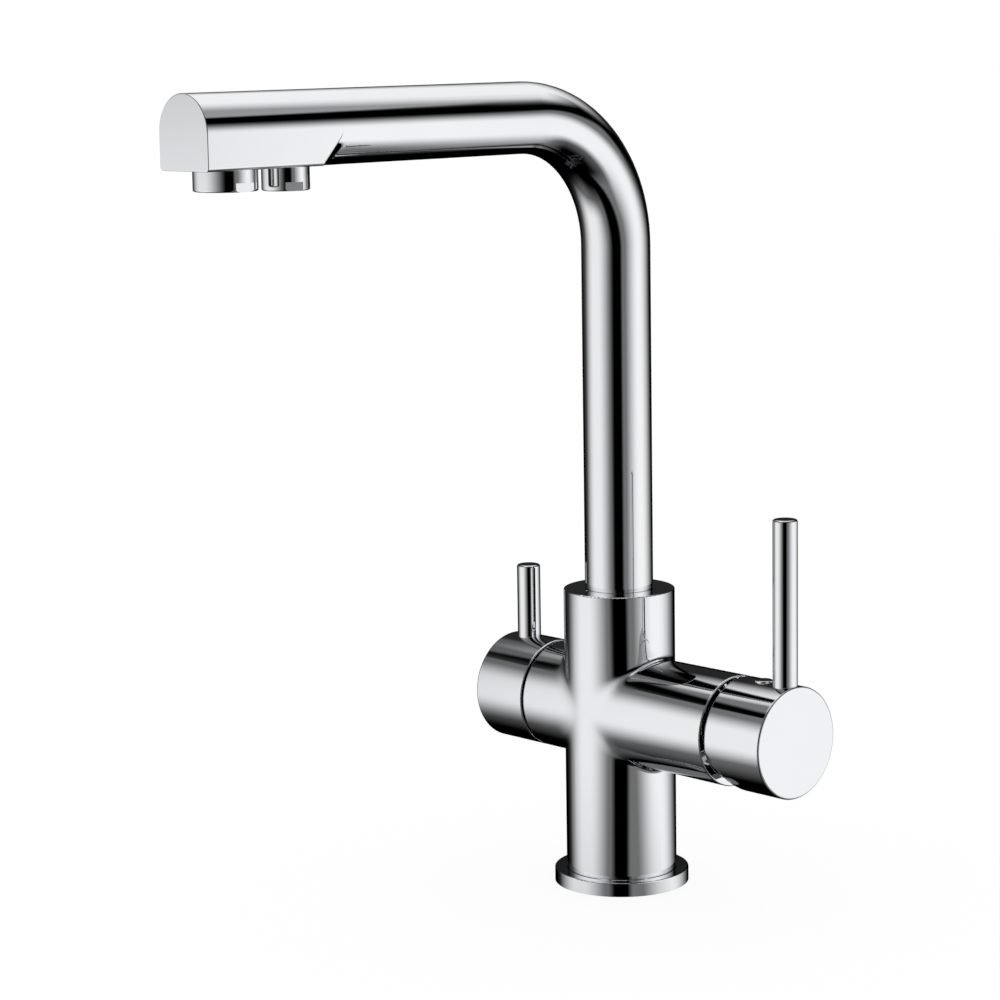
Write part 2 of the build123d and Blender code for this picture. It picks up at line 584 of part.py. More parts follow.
# Hollow handle casting: barrel wall, closed end, square socket on the stem, and a web for lever and screw.
with BuildPart() as mixer_barrel:
    sleeve(mixer_arm, MIXER_BARREL_START, MIXER_BARREL_END, ARM_R)
    fillet(mixer_barrel.faces().sort_by(Axis.X)[-1].edges(), BARREL_ROUND)
    fillet(mixer_barrel.faces().sort_by(Axis.X)[0].edges(), BARREL_RIM_ROUND)
    mixer_floor = MIXER_BARREL_END - BARREL_END_WALL
    bore(mixer_arm, MIXER_BARREL_START, mixer_floor, barrel_bore_r)
    sleeve(mixer_arm, MIXER_BOSS_START, mixer_floor, MIXER_BOSS_R)
    with BuildSketch(mixer_arm.offset(MIXER_BOSS_START)) as web:
        with Locations((0, (ARM_R - BARREL_WALL / 2) / 2)):
            Rectangle(2 * WEB_HALF_WIDTH, ARM_R - BARREL_WALL / 2)
    extrude(web.sketch, amount=mixer_floor - MIXER_BOSS_START)
    with BuildSketch(mixer_arm.offset(MIXER_BOSS_START)) as socket:
        Rectangle(STEM_SQUARE + 2 * FIT, STEM_SQUARE + 2 * FIT)
    extrude(socket.sketch, amount=STEM_END - MIXER_BOSS_START + FACE_GAP, mode=Mode.SUBTRACT)
    relief_depth = ARM_R + RUN_OUT - RELIEF_DROP
    with BuildSketch(mixer_side) as relief:
        with BuildLine():
            Polyline(
                (MIXER_BARREL_START, -RELIEF_DROP),
                (MIXER_BARREL_START + relief_depth * tan(radians(RELIEF_ANGLE)), -ARM_R - RUN_OUT),
                (MIXER_BARREL_START - RUN_OUT, -ARM_R - RUN_OUT),
                (MIXER_BARREL_START - RUN_OUT, -RELIEF_DROP),
                close=True,
            )
        make_face()
    extrude(relief.sketch, amount=ARM_R + RUN_OUT, both=True, mode=Mode.SUBTRACT)
    bore(mixer_lever_axis, LEVER_SEAT, ARM_R + RUN_OUT, LEVER_R + FIT)
    bore(mixer_lever_axis, lever_stud_end, LEVER_SEAT, LEVER_STUD_R + FIT)
    bore(plug_axis, 0, ARM_R + RUN_OUT, GRUB_R + FIT)
    bore(plug_axis, ARM_R - PLUG_DEPTH, ARM_R + RUN_OUT, PLUG_R + FIT)
mixer_barrel.part.label = "mixer_barrel"
export_step(mixer_barrel.part, "parts/mixer_barrel.step")

# Lever rods, each with a threaded stud in its barrel.
with BuildPart() as mixer_lever:
    sleeve(mixer_lever_axis, lever_stud_end, LEVER_SEAT, LEVER_STUD_R)
    sleeve(mixer_lever_axis, LEVER_SEAT, MIXER_LEVER_TOP - ARM_Z, LEVER_R)
    fillet(mixer_lever.faces().sort_by(Axis.Z)[-1].edges(), LEVER_ROUND)
mixer_lever.part.label = "mixer_lever"
export_step(mixer_lever.part, "parts/mixer_lever.step")

# Grub screw that bites on the stem, and the small button that closes its hole.
with BuildPart() as mixer_grub_screw:
    grub_foot = STEM_SQUARE / 2 + FIT
    sleeve(plug_axis, grub_foot, grub_foot + GRUB_LENGTH, GRUB_R)
    key_socket(plug_axis, grub_foot + GRUB_LENGTH, HEX_KEY, HEX_KEY)
mixer_grub_screw.part.label = "mixer_grub_screw"
export_step(mixer_grub_screw.part, "parts/mixer_grub_screw.step")

with BuildPart() as index_plug:
    sleeve(plug_axis, ARM_R - PLUG_DEPTH, ARM_R + PLUG_PROUD, PLUG_R)
    fillet(index_plug.faces().sort_by(Axis.Z)[-1].edges(), PLUG_PROUD)
index_plug.part.label = "index_plug"
export_step(index_plug.part, "parts/index_plug.step")

# ---------------------------------------------------------------------------------------- filtered water valve
washer_end = FILTER_SEAT + SEAT_WASHER_H
fixed_disc_end = washer_end + FILTER_DISC_H
moving_disc_start = fixed_disc_end + FACE_GAP
moving_disc_end = moving_disc_start + FILTER_DISC_H
hex_end = VALVE_MOUTH_START + HEX_H

with BuildPart() as filter_seat_washer:
    sleeve(filter_arm, FILTER_SEAT, washer_end, SEAT_WASHER_R, SEAT_WASHER_BORE_R)
filter_seat_washer.part.label = "filter_seat_washer"
export_step(filter_seat_washer.part, "parts/filter_seat_washer.step")

# Headwork: windowed nose round the discs, thread, hexagon and the neck that guides the spindle.
with BuildPart() as filter_headwork:
    sleeve(filter_arm, washer_end, VALVE_MOUTH_START, NOSE_R)
    sleeve(filter_arm, THREAD_START, VALVE_MOUTH_START, VALVE_BORE_R)
    with BuildSketch(filter_arm.offset(VALVE_MOUTH_START)) as hexagon:
        RegularPolygon(radius=HEX_ACROSS / 2, side_count=6, major_radius=False)
    extrude(hexagon.sketch, amount=HEX_H)
    sleeve(filter_arm, hex_end, NECK_END, NECK_R)
    bore(filter_arm, washer_end, SPINDLE_FOOT_END + FACE_GAP, NOSE_BORE_R)
    bore(filter_arm, SPINDLE_FOOT_END, NECK_END, SPINDLE_R + PLAY)
    with BuildSketch(filter_arm.offset(moving_disc_end)) as windows:
        Rectangle(2 * VALVE_BORE_R, NOSE_R)
    extrude(windows.sketch, amount=THREAD_START - moving_disc_end, mode=Mode.SUBTRACT)
filter_headwork.part.label = "filter_headwork"
export_step(filter_headwork.part, "parts/filter_headwork.step")

# Two ceramic discs: their holes stand a quarter turn apart while the valve is shut.
with BuildPart() as filter_fixed_disc:
    sleeve(filter_arm, washer_end, fixed_disc_end, FILTER_DISC_R)
    with BuildSketch(filter_arm.offset(washer_end)) as holes:
        with Locations((FILTER_DISC_HOLE_AT, 0), (-FILTER_DISC_HOLE_AT, 0)):
            Circle(FILTER_DISC_HOLE_R)
    extrude(holes.sketch, amount=FILTER_DISC_H, mode=Mode.SUBTRACT)
filter_fixed_disc.part.label = "filter_fixed_disc"
export_step(filter_fixed_disc.part, "parts/filter_fixed_disc.step")

with BuildPart() as filter_moving_disc:
    sleeve(filter_arm, moving_disc_start, moving_disc_end, FILTER_DISC_R - PLAY)
    with BuildSketch(filter_arm.offset(moving_disc_start)) as holes:
        with Locations((0, FILTER_DISC_HOLE_AT), (0, -FILTER_DISC_HOLE_AT)):
            Circle(FILTER_DISC_HOLE_R)
    extrude(holes.sketch, amount=FILTER_DISC_H, mode=Mode.SUBTRACT)
filter_moving_disc.part.label = "filter_moving_disc"
export_step(filter_moving_disc.part, "parts/filter_moving_disc.step")

# Spindle: slotted foot on the moving disc, sealed shaft, clip groove and the square under the handle.
with BuildPart() as filter_spindle:
    sleeve(filter_arm, moving_disc_end, SPINDLE_FOOT_END, SPINDLE_FOOT_R)
    sleeve(filter_arm, SPINDLE_FOOT_END, SPINDLE_SHAFT_END, SPINDLE_R)
    with BuildSketch(filter_arm.offset(SPINDLE_SHAFT_END)) as square:
        Rectangle(SPINDLE_SQUARE, SPINDLE_SQUARE)
    extrude(square.sketch, amount=SPINDLE_END - SPINDLE_SHAFT_END)
    with BuildSketch(filter_arm.offset(moving_disc_end)) as foot_slot:
        Rectangle(2 * FILTER_DISC_HOLE_R, 2 * SPINDLE_FOOT_R)
    extrude(foot_slot.sketch, amount=(SPINDLE_FOOT_END - moving_disc_end) / 2, mode=Mode.SUBTRACT)
    groove_end = SPINDLE_GROOVE_AT + SPINDLE_GROOVE
    sleeve(filter_arm, SPINDLE_GROOVE_AT, groove_end, SPINDLE_R, SPINDLE_GROOVE_R, mode=Mode.SUBTRACT)
    clip_start = NECK_END + FACE_GAP
    sleeve(filter_arm, clip_start, clip_start + CLIP_H, SPINDLE_R, CLIP_GROOVE_R, mode=Mode.SUBTRACT)
filter_spindle.part.label = "filter_spindle"
export_step(filter_spindle.part, "parts/filter_spindle.step")

with BuildPart() as spindle_o_ring:
    ring_r = (SPINDLE_R - SPINDLE_GROOVE_R) / 2
    ring_middle = SPINDLE_GROOVE_AT + SPINDLE_GROOVE / 2
    spin_ring(filter_arm, ring_middle, SPINDLE_GROOVE_R + ring_r, ring_r - FIT / 4)
spindle_o_ring.part.label = "spindle_o_ring"
export_step(spindle_o_ring.part, "parts/spindle_o_ring.step")

# Open clip that keeps the spindle in its neck.
with BuildPart() as spindle_clip:
    sleeve(filter_arm, clip_start, clip_start + CLIP_H, CLIP_R, CLIP_GROOVE_R + FIT)
    with BuildSketch(filter_arm.offset(clip_start)) as mouth:
        with Locations((0, -CLIP_R / 2)):
            Rectangle(CLIP_GROOVE_R, CLIP_R)
    extrude(mouth.sketch, amount=CLIP_H, mode=Mode.SUBTRACT)
spindle_clip.part.label = "spindle_clip"
export_step(spindle_clip.part, "parts/spindle_clip.step")

# ---------------------------------------------------------------------------------------- filter handle
with BuildPart() as filter_barrel:
    sleeve(filter_arm, FILTER_BARREL_START, FILTER_BARREL_END, ARM_R)
    fillet(filter_barrel.faces().sort_by(Axis.X)[0].edges(), BARREL_ROUND)
    fillet(filter_barrel.faces().sort_by(Axis.X)[-1].edges(), BARREL_RIM_ROUND)
    filter_floor = FILTER_BARREL_END - BARREL_END_WALL
    bore(filter_arm, FILTER_BARREL_START, filter_floor, barrel_bore_r)
    sleeve(filter_arm, FILTER_BOSS_START, filter_floor, FILTER_BOSS_R)
    with BuildSketch(filter_arm.offset(FILTER_WEB_START)) as web:
        Rectangle(2 * WEB_HALF_WIDTH, 2 * ARM_R - BARREL_WALL)
    extrude(web.sketch, amount=filter_floor - FILTER_WEB_START)
    with BuildSketch(filter_arm.offset(FILTER_BOSS_START)) as socket:
        Rectangle(SPINDLE_SQUARE + 2 * FIT, SPINDLE_SQUARE + 2 * FIT)
    extrude(socket.sketch, amount=SPINDLE_END - FILTER_BOSS_START + FACE_GAP, mode=Mode.SUBTRACT)
    bore(filter_lever_axis, LEVER_SEAT, ARM_R + RUN_OUT, LEVER_R + FIT)
    bore(filter_lever_axis, lever_stud_end, LEVER_SEAT, LEVER_STUD_R + FIT)
    bore(filter_grub_axis, 0, ARM_R + RUN_OUT, FILTER_GRUB_R + FIT)
filter_barrel.part.label = "filter_barrel"
export_step(filter_barrel.part, "parts/filter_barrel.step")

with BuildPart() as filter_lever:
    sleeve(filter_lever_axis, lever_stud_end, LEVER_SEAT, LEVER_STUD_R)
    sleeve(filter_lever_axis, LEVER_SEAT, FILTER_LEVER_TOP - ARM_Z, LEVER_R)
    fillet(filter_lever.faces().sort_by(Axis.Z)[-1].edges(), LEVER_ROUND)
filter_lever.part.label = "filter_lever"
export_step(filter_lever.part, "parts/filter_lever.step")

with BuildPart() as filter_grub_screw:
    filter_grub_foot = SPINDLE_SQUARE / 2 + FIT
    sleeve(filter_grub_axis, filter_grub_foot, filter_grub_foot + FILTER_GRUB_LENGTH, FILTER_GRUB_R)
    key_socket(filter_grub_axis, filter_grub_foot + FILTER_GRUB_LENGTH, HEX_KEY, HEX_KEY)
filter_grub_screw.part.label = "filter_grub_screw"
export_step(filter_grub_screw.part, "parts/filter_grub_screw.step")

# ---------------------------------------------------------------------------------------- spout
# Tail: spigot with two ring grooves and the lock groove, a thin flange under the tube, plug inside the tube.
with BuildPart() as spout_tail:
    flange_low = BODY_TOP + FACE_GAP
    spigot_r = SOCKET_R - PLAY
    tail_low = flange_low - TAIL_LENGTH
    sleeve(column, tail_low, flange_low, spigot_r, TAIL_BORE_R)
    sleeve(column, flange_low, tube_foot, TUBE_R - TAIL_SHADOW, TAIL_BORE_R)
    sleeve(column, tube_foot, tube_foot + TAIL_PLUG, tube_bore_r - FIT, TAIL_BORE_R)
    for ring_z in O_RING_Z:
        half = O_RING_GROOVE / 2
        sleeve(column, ring_z - half, ring_z + half, SOCKET_R, O_RING_FLOOR_R, mode=Mode.SUBTRACT)
    half = LOCK_GROOVE / 2
    sleeve(column, LOCK_Z - half, LOCK_Z + half, SOCKET_R, LOCK_GROOVE_FLOOR_R, mode=Mode.SUBTRACT)
spout_tail.part.label = "spout_tail"
export_step(spout_tail.part, "parts/spout_tail.step")

with BuildPart() as tail_o_rings:
    for ring_z in O_RING_Z:
        spin_ring(column, ring_z, O_RING_FLOOR_R + FIT + O_RING, O_RING)
tail_o_rings.part.label = "tail_o_rings"
export_step(tail_o_rings.part, "parts/tail_o_rings.step")

# Tube: straight up, one bend, and level to the head.
with BuildPart() as spout_tube:
    with BuildLine(side_view) as spout_route:
        riser = Line((0, tube_foot), (0, bend_start))
        bend = CenterArc((-BEND_R, bend_start), BEND_R, 0, 90)
        Line(bend @ 1, (-HEAD_START, SPOUT_Z))
    with BuildSketch(column.offset(tube_foot)):
        Circle(TUBE_R)
        Circle(tube_bore_r, mode=Mode.SUBTRACT)
    sweep()
spout_tube.part.label = "spout_tube"
export_step(spout_tube.part, "parts/spout_tube.step")

# Connector at the foot of the filtered line: it plugs into the body and three fins centre it in the socket.
with BuildPart() as line_connector:
    sleeve(column, CONNECTOR_TIP, CONNECTOR_TOP, LINE_SOCKET_R - PLAY)
    sleeve(column, CONNECTOR_TOP, CONNECTOR_TOP + CONNECTOR_BARB, LINE_BORE_R - FIT)
    fin_inner = LINE_R + LOOSE
    fin_outer = SOCKET_R - LOOSE
    with BuildSketch(column.offset(FIN_LOW)) as fins:
        with PolarLocations((fin_inner + fin_outer) / 2, 3):
            Rectangle(fin_outer - fin_inner, FIN_WIDTH)
    extrude(fins.sketch, amount=tail_low - FACE_GAP - FIN_LOW)
    bore(column, CONNECTOR_TIP, CONNECTOR_TOP + CONNECTOR_BARB, CONNECTOR_BORE_R)
    line_ring_z = (CONNECTOR_TIP + SOCKET_FLOOR) / 2
    half = O_RING
    sleeve(column, line_ring_z - half, line_ring_z + half, LINE_SOCKET_R, LINE_SOCKET_R - O_RING, mode=Mode.SUBTRACT)
line_connector.part.label = "line_connector"
export_step(line_connector.part, "parts/line_connector.step")

with BuildPart() as line_o_ring:
    ring_r = (O_RING - PLAY) / 2
    spin_ring(column, line_ring_z, LINE_SOCKET_R - O_RING + ring_r + FIT / 4, ring_r - FIT / 4)
line_o_ring.part.label = "line_o_ring"
export_step(line_o_ring.part, "parts/line_o_ring.step")

# Filtered line: plastic tube up the spout and along it, a little below its axis, into the head.
line_bend_r = line_z - bend_start
line_end = HEAD_START + HEAD_SPIGOT
with BuildPart() as filter_inner_tube:
    with BuildLine(side_view):
        Line((0, CONNECTOR_TOP), (0, bend_start))
        line_bend = CenterArc((-line_bend_r, bend_start), line_bend_r, 0, 90)
        Line(line_bend @ 1, (-line_end, line_z))
    with BuildSketch(column.offset(CONNECTOR_TOP)):
        Circle(LINE_R)
        Circle(LINE_BORE_R, mode=Mode.SUBTRACT)
    sweep()
filter_inner_tube.part.label = "filter_inner_tube"
export_step(filter_inner_tube.part, "parts/filter_inner_tube.step")

# Head: round where it meets the tube, then flat-sided and flat below, with a sloping heel between the two.
with BuildPart() as spout_head:
    with BuildSketch(head_axis.offset(HEAD_START)) as arch:
        Circle(TUBE_R)
        with Locations((0, -TUBE_R / 2)):
            Rectangle(2 * TUBE_R, TUBE_R)
        with Locations((0, -HEAD_FLAT - TUBE_R / 2)):
            Rectangle(2 * TUBE_R, TUBE_R, mode=Mode.SUBTRACT)
    extrude(arch.sketch, amount=SPOUT_REACH - HEAD_START)
    heel_run = HEAD_FLAT / tan(radians(HEAD_SLOPE))
    above = TUBE_R / 2
    with BuildSketch(side_view) as heel:
        with BuildLine():
            Polyline(
                (-HEAD_SLOPE_TOP + above / tan(radians(HEAD_SLOPE)), SPOUT_Z + above),
                (-HEAD_SLOPE_TOP - heel_run, head_bottom),
                (-HEAD_SLOPE_TOP - heel_run - TUBE_R, head_bottom),
                (-HEAD_SLOPE_TOP - heel_run - TUBE_R, head_bottom - TUBE_R),
                (-HEAD_START + TUBE_R, head_bottom - TUBE_R),
                (-HEAD_START + TUBE_R, SPOUT_Z + above),
                close=True,
            )
        make_face()
        corner = heel.vertices().sort_by_distance((0, -HEAD_SLOPE_TOP - heel_run, head_bottom))[0]
        fillet(corner, HEAD_HEEL_ROUND)
    extrude(heel.sketch, amount=2 * TUBE_R, both=True, mode=Mode.SUBTRACT)
    for flank in (spout_head.faces().filter_by(Axis.X).sort_by(Axis.X)[place] for place in (0, -1)):
        long_edges = flank.edges().filter_by(lambda edge: edge.center().Z < SPOUT_Z - RUN_OUT)
        fillet(long_edges.filter_by(lambda edge: edge.center().Y > RUN_OUT - SPOUT_REACH), HEAD_SIDE_ROUND)
    sleeve(head_axis, HEAD_START, HEAD_SLOPE_TOP + heel_run, TUBE_R)
    fillet(spout_head.faces().sort_by(Axis.Y)[0].edges(), HEAD_NOSE_ROUND)
    sleeve(head_axis, HEAD_START - HEAD_SPIGOT, HEAD_START, tube_bore_r - FIT)

    # mixed water: round throat through the spigot, then a wide channel over the outlet
    with BuildSketch(head_axis.offset(HEAD_START - HEAD_SPIGOT)) as throat:
        with Locations((0, HEAD_THROAT_RISE)):
            Circle(HEAD_THROAT_R)
    extrude(throat.sketch, amount=2 * HEAD_SPIGOT, mode=Mode.SUBTRACT)
    with BuildSketch(head_axis.offset(HEAD_START + HEAD_SPIGOT)) as channel:
        Circle(HEAD_CHANNEL_R)
        with Locations((0, -HEAD_CHANNEL_FLOOR - HEAD_CHANNEL_R)):
            Rectangle(2 * HEAD_CHANNEL_R, 2 * HEAD_CHANNEL_R, mode=Mode.SUBTRACT)
    channel_end = SPOUT_REACH - HEAD_END_WALL
    extrude(channel.sketch, amount=channel_end - HEAD_START - HEAD_SPIGOT, mode=Mode.SUBTRACT)
    washer_seat = head_bottom + MIXED_THREAD_H + OUTLET_WASHER_H
    bore(mixed_axis, head_bottom - RUN_OUT, washer_seat, MIXED_THREAD_R + FIT)
    bore(mixed_axis, head_bottom, SPOUT_Z, MIXED_PASSAGE_R)

    # filtered water: socket for the line, then a drilled way to its own outlet
    drill((0, -HEAD_START + HEAD_SPIGOT, line_z), (0, -line_end, line_z), LINE_R + FIT)
    drill((0, -line_end, line_z), (0, -FILTERED_AT, line_z), LINE_BORE_R)
    filtered_seat = head_bottom + FILTERED_THREAD_H + OUTLET_WASHER_H
    bore(filtered_axis, head_bottom - RUN_OUT, filtered_seat, FILTERED_THREAD_R + FIT)
    bore(filtered_axis, head_bottom, line_z + LINE_BORE_R + DRILL_POINT, FILTERED_PASSAGE_R)
    bore(filtered_axis, head_bottom - HEAD_HEEL_ROUND, head_bottom, FILTERED_R + LOOSE)
spout_head.part.label = "spout_head"
export_step(spout_head.part, "parts/spout_head.step")


# ---------------------------------------------------------------------------------------- outlets
def outlet_housing(plane, low, outer, thread_r, thread_h, passage_r, insert_r):
    """A turned outlet under the head: body with two spanner flats, thread above, room for the insert below."""
    with BuildPart() as housing:
        sleeve(plane, low, head_bottom, outer)
        fillet(housing.faces().sort_by(Axis.Z)[0].edges(), OUTLET_ROUND)
        for side in (1, -1):
            with BuildSketch(plane.offset(low)) as flat:
                with Locations((side * (1.5 * outer - FLAT_DEPTH), 0)):
                    Rectangle(outer, 2 * outer)
            extrude(flat.sketch, amount=FLAT_H, mode=Mode.SUBTRACT)
        sleeve(plane, head_bottom, head_bottom + thread_h, thread_r)
        bore(plane, low, head_bottom + thread_h, passage_r)
        bore(plane, low, low + INSERT_RECESS + INSERT_H, insert_r + FIT)
    return housing


def outlet_insert(plane, low, insert_r, hole_r, pitch):
    """A flow straightener: a round plug with a hexagonal field of holes."""
    with BuildPart() as insert:
        sleeve(plane, low + INSERT_RECESS, low + INSERT_RECESS + INSERT_H, insert_r)
        with BuildSketch(plane.offset(low + INSERT_RECESS)) as field:
            for row in range(-FIELD_ROWS, FIELD_ROWS + 1):
                across = 2 * FIELD_ROWS + 1 - abs(row)
                for place in range(across):
                    with Locations(((place - (across - 1) / 2) * pitch, row * pitch * sin(radians(60)))):
                        Circle(hole_r)
        extrude(field.sketch, amount=INSERT_H, mode=Mode.SUBTRACT)
    return insert


def outlet_washer(plane, low, outer, inner):
    """A flat sealing washer above an outlet's thread."""
    with BuildPart() as washer:
        sleeve(plane, low, low + OUTLET_WASHER_H, outer, inner)
    return washer


mixed_outlet = outlet_housing(
    mixed_axis, mixed_low, MIXED_R, MIXED_THREAD_R, MIXED_THREAD_H, MIXED_PASSAGE_R, MIXED_INSERT_R
)
mixed_outlet.part.label = "mixed_outlet"
export_step(mixed_outlet.part, "parts/mixed_outlet.step")

mixed_insert = outlet_insert(mixed_axis, mixed_low, MIXED_INSERT_R, *MIXED_FIELD)
mixed_insert.part.label = "mixed_insert"
export_step(mixed_insert.part, "parts/mixed_insert.step")

mixed_washer = outlet_washer(mixed_axis, head_bottom + MIXED_THREAD_H, MIXED_THREAD_R, MIXED_PASSAGE_R + FIT)
mixed_washer.part.label = "mixed_washer"
export_step(mixed_washer.part, "parts/mixed_washer.step")

filtered_outlet = outlet_housing(
    filtered_axis, filtered_low, FILTERED_R, FILTERED_THREAD_R, FILTERED_THREAD_H, FILTERED_PASSAGE_R,
    FILTERED_INSERT_R,
)
filtered_outlet.part.label = "filtered_outlet"
export_step(filtered_outlet.part, "parts/filtered_outlet.step")

filtered_insert = outlet_insert(filtered_axis, filtered_low, FILTERED_INSERT_R, *FILTERED_FIELD)
filtered_insert.part.label = "filtered_insert"
export_step(filtered_insert.part, "parts/filtered_insert.step")

filtered_washer = outlet_washer(
    filtered_axis, head_bottom + FILTERED_THREAD_H, FILTERED_THREAD_R, FILTERED_PASSAGE_R + FIT
)
filtered_washer.part.label = "filtered_washer"
export_step(filtered_washer.part, "parts/filtered_washer.step")
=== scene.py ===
from math import cos, degrees, pi, radians, sin, sqrt

import bpy
from mathutils import Matrix, Vector


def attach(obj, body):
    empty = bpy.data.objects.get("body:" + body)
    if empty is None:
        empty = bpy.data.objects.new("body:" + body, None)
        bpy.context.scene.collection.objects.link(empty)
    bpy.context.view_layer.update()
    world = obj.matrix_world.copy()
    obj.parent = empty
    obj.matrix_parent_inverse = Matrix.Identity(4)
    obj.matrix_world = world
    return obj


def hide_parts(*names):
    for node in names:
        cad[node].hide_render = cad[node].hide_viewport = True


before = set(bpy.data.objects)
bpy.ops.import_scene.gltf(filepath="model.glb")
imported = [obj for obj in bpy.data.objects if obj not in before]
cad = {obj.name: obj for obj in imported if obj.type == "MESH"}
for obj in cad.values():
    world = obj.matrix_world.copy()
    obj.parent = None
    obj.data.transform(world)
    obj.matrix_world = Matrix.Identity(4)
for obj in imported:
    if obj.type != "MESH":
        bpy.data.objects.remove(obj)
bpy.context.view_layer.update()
bpy.ops.object.select_all(action="DESELECT")


# ------------------------------------------------------------------------------------------------ camera
# The photograph is taken from the front right, from just above the spout and looking down a little, with the
# camera leaning slightly. These are the values of a camera fitted to the tap's outlines.
CAMERA_AZIMUTH = 46.986
CAMERA_ELEVATION = 9.096
CAMERA_LEAN = -0.927
CAMERA_DISTANCE = 1.239877
CAMERA_LENS = 107.33
AIM_SIDEWAYS = -0.049153
AIM_HEIGHT = 0.163261

azimuth, elevation = radians(CAMERA_AZIMUTH), radians(CAMERA_ELEVATION)
towards_camera = Vector((sin(azimuth) * cos(elevation), -cos(azimuth) * cos(elevation), sin(elevation)))
image_right = Vector((cos(azimuth), sin(azimuth), 0))
lens = bpy.data.cameras.new("photo_camera")
lens.sensor_width = 36
lens.lens = CAMERA_LENS
lens.clip_end = 50
camera = bpy.data.objects.new("photo_camera", lens)
bpy.context.scene.collection.objects.link(camera)
facing = (-towards_camera).to_track_quat("-Z", "Y").to_matrix() @ Matrix.Rotation(radians(CAMERA_LEAN), 3, "Z")
stand = image_right * AIM_SIDEWAYS + Vector((0, 0, AIM_HEIGHT)) + towards_camera * CAMERA_DISTANCE
camera.matrix_world = Matrix.Translation(stand) @ facing.to_4x4()
bpy.context.scene.camera = camera
bpy.context.scene.view_settings.view_transform = "Standard"


# ------------------------------------------------------------------------------------------------ light tent
# A polished tap is photographed inside a tent of white cloth, and shows the tent as stripes: a large soft lamp
# on each side, a pale roof that is brightest at the back, and dark cloth in front, behind and below. Below the
# tap lies a white floor that keeps its shadow.
TENT_RADIUS = 0.65
TENT_CENTRE = (0, 0, 0.09)
TENT_TONE = (0.99, 0.995, 1.0)
BACK_SIDE = 178.0
ROOF_DARK_END, ROOF_BRIGHT_END = 0.49, -0.12
LAMP_EDGES = "Start", "Full From", "Full To", "End", "Low Start", "Low Full", "High Full", "High End"
ALL_ROUND = 200, 180, -10, -20
TO_THE_TOP = 200, 201
FLOOR_RADIUS = 4.0
FLOOR_DROP = 0.0002
FLOOR_GLOW = 0.9


def adder(tree):
    """A function that adds a node to the tree, with its settings, and its inputs by name or number."""

    def add(kind, inputs=(), **settings):
        node = tree.nodes.new(kind)
        for name, value in settings.items():
            setattr(node, name, value)
        for socket, value in dict(inputs).items():
            if hasattr(value, "is_output"):
                tree.links.new(value, node.inputs[socket])
            else:
                node.inputs[socket].default_value = value
        return node

    return add


def arithmetic(add):
    """A function for one step of arithmetic on numbers or sockets."""

    def step(operation, *values):
        return add("ShaderNodeMath", dict(enumerate(values)), operation=operation).outputs[0]

    return step


def vector_arithmetic(add):
    """A function for one step of arithmetic on vectors or sockets, which gives a vector, or a length or product."""

    def vector(operation, *values):
        output = "Value" if operation in ("LENGTH", "DOT_PRODUCT") else "Vector"
        return add("ShaderNodeVectorMath", dict(enumerate(values)), operation=operation).outputs[output]

    return vector


def ramp(add, value, start, end, smooth=False):
    """How far a value has come from start to end, from 0 to 1, and held at both."""
    sockets = {"Value": value, "From Min": start, "From Max": end}
    kind = "SMOOTHSTEP" if smooth else "LINEAR"
    return add("ShaderNodeMapRange", sockets, interpolation_type=kind).outputs[0]


def plain_material(name):
    """A new material with no nodes yet, and the function that adds them."""
    made = bpy.data.materials.new(name)
    made.use_nodes = True
    made.node_tree.nodes.clear()
    return made, adder(made.node_tree)


def new_group(name, inputs, outputs):
    """An empty node group, with named inputs and their first values, and named outputs."""
    group = bpy.data.node_groups.new(name, "ShaderNodeTree")
    kinds = {float: "NodeSocketFloat", tuple: "NodeSocketColor", Vector: "NodeSocketVector"}
    for socket, value in inputs.items():
        made = group.interface.new_socket(socket, in_out="INPUT", socket_type=kinds[type(value)])
        if type(value) is not Vector:
            made.default_value = value
    for socket, kind in outputs.items():
        group.interface.new_socket(socket, in_out="OUTPUT", socket_type=kinds[kind])
    add = adder(group)
    return group, add, add("NodeGroupInput").outputs


def soft_lamp_group():
    """The brightness of one soft-edged lamp on the tent, for a point's side and height. Its ends can lean."""
    inputs = {name: 0.0 for name in ("Side", "Height", *LAMP_EDGES, "Start Lean", "End Lean")} | {"Brightness": 1.0}
    group, add, given = new_group("soft_lamp", inputs, {"Light": float})
    step = arithmetic(add)

    def inside(value, dark, full):
        return ramp(add, value, given[dark], given[full], smooth=True)

    from_start = step("SUBTRACT", given["Side"], step("MULTIPLY", given["Height"], given["Start Lean"]))
    from_end = step("SUBTRACT", given["Side"], step("MULTIPLY", given["Height"], given["End Lean"]))
    wide = step("MULTIPLY", inside(from_start, "Start", "Full From"), inside(from_end, "End", "Full To"))
    above, below = inside(given["Height"], "Low Start", "Low Full"), inside(given["Height"], "High End", "High Full")
    light = step("MULTIPLY", step("MULTIPLY", wide, step("MULTIPLY", above, below)), given["Brightness"])
    add("NodeGroupOutput", {"Light": light})
    return group


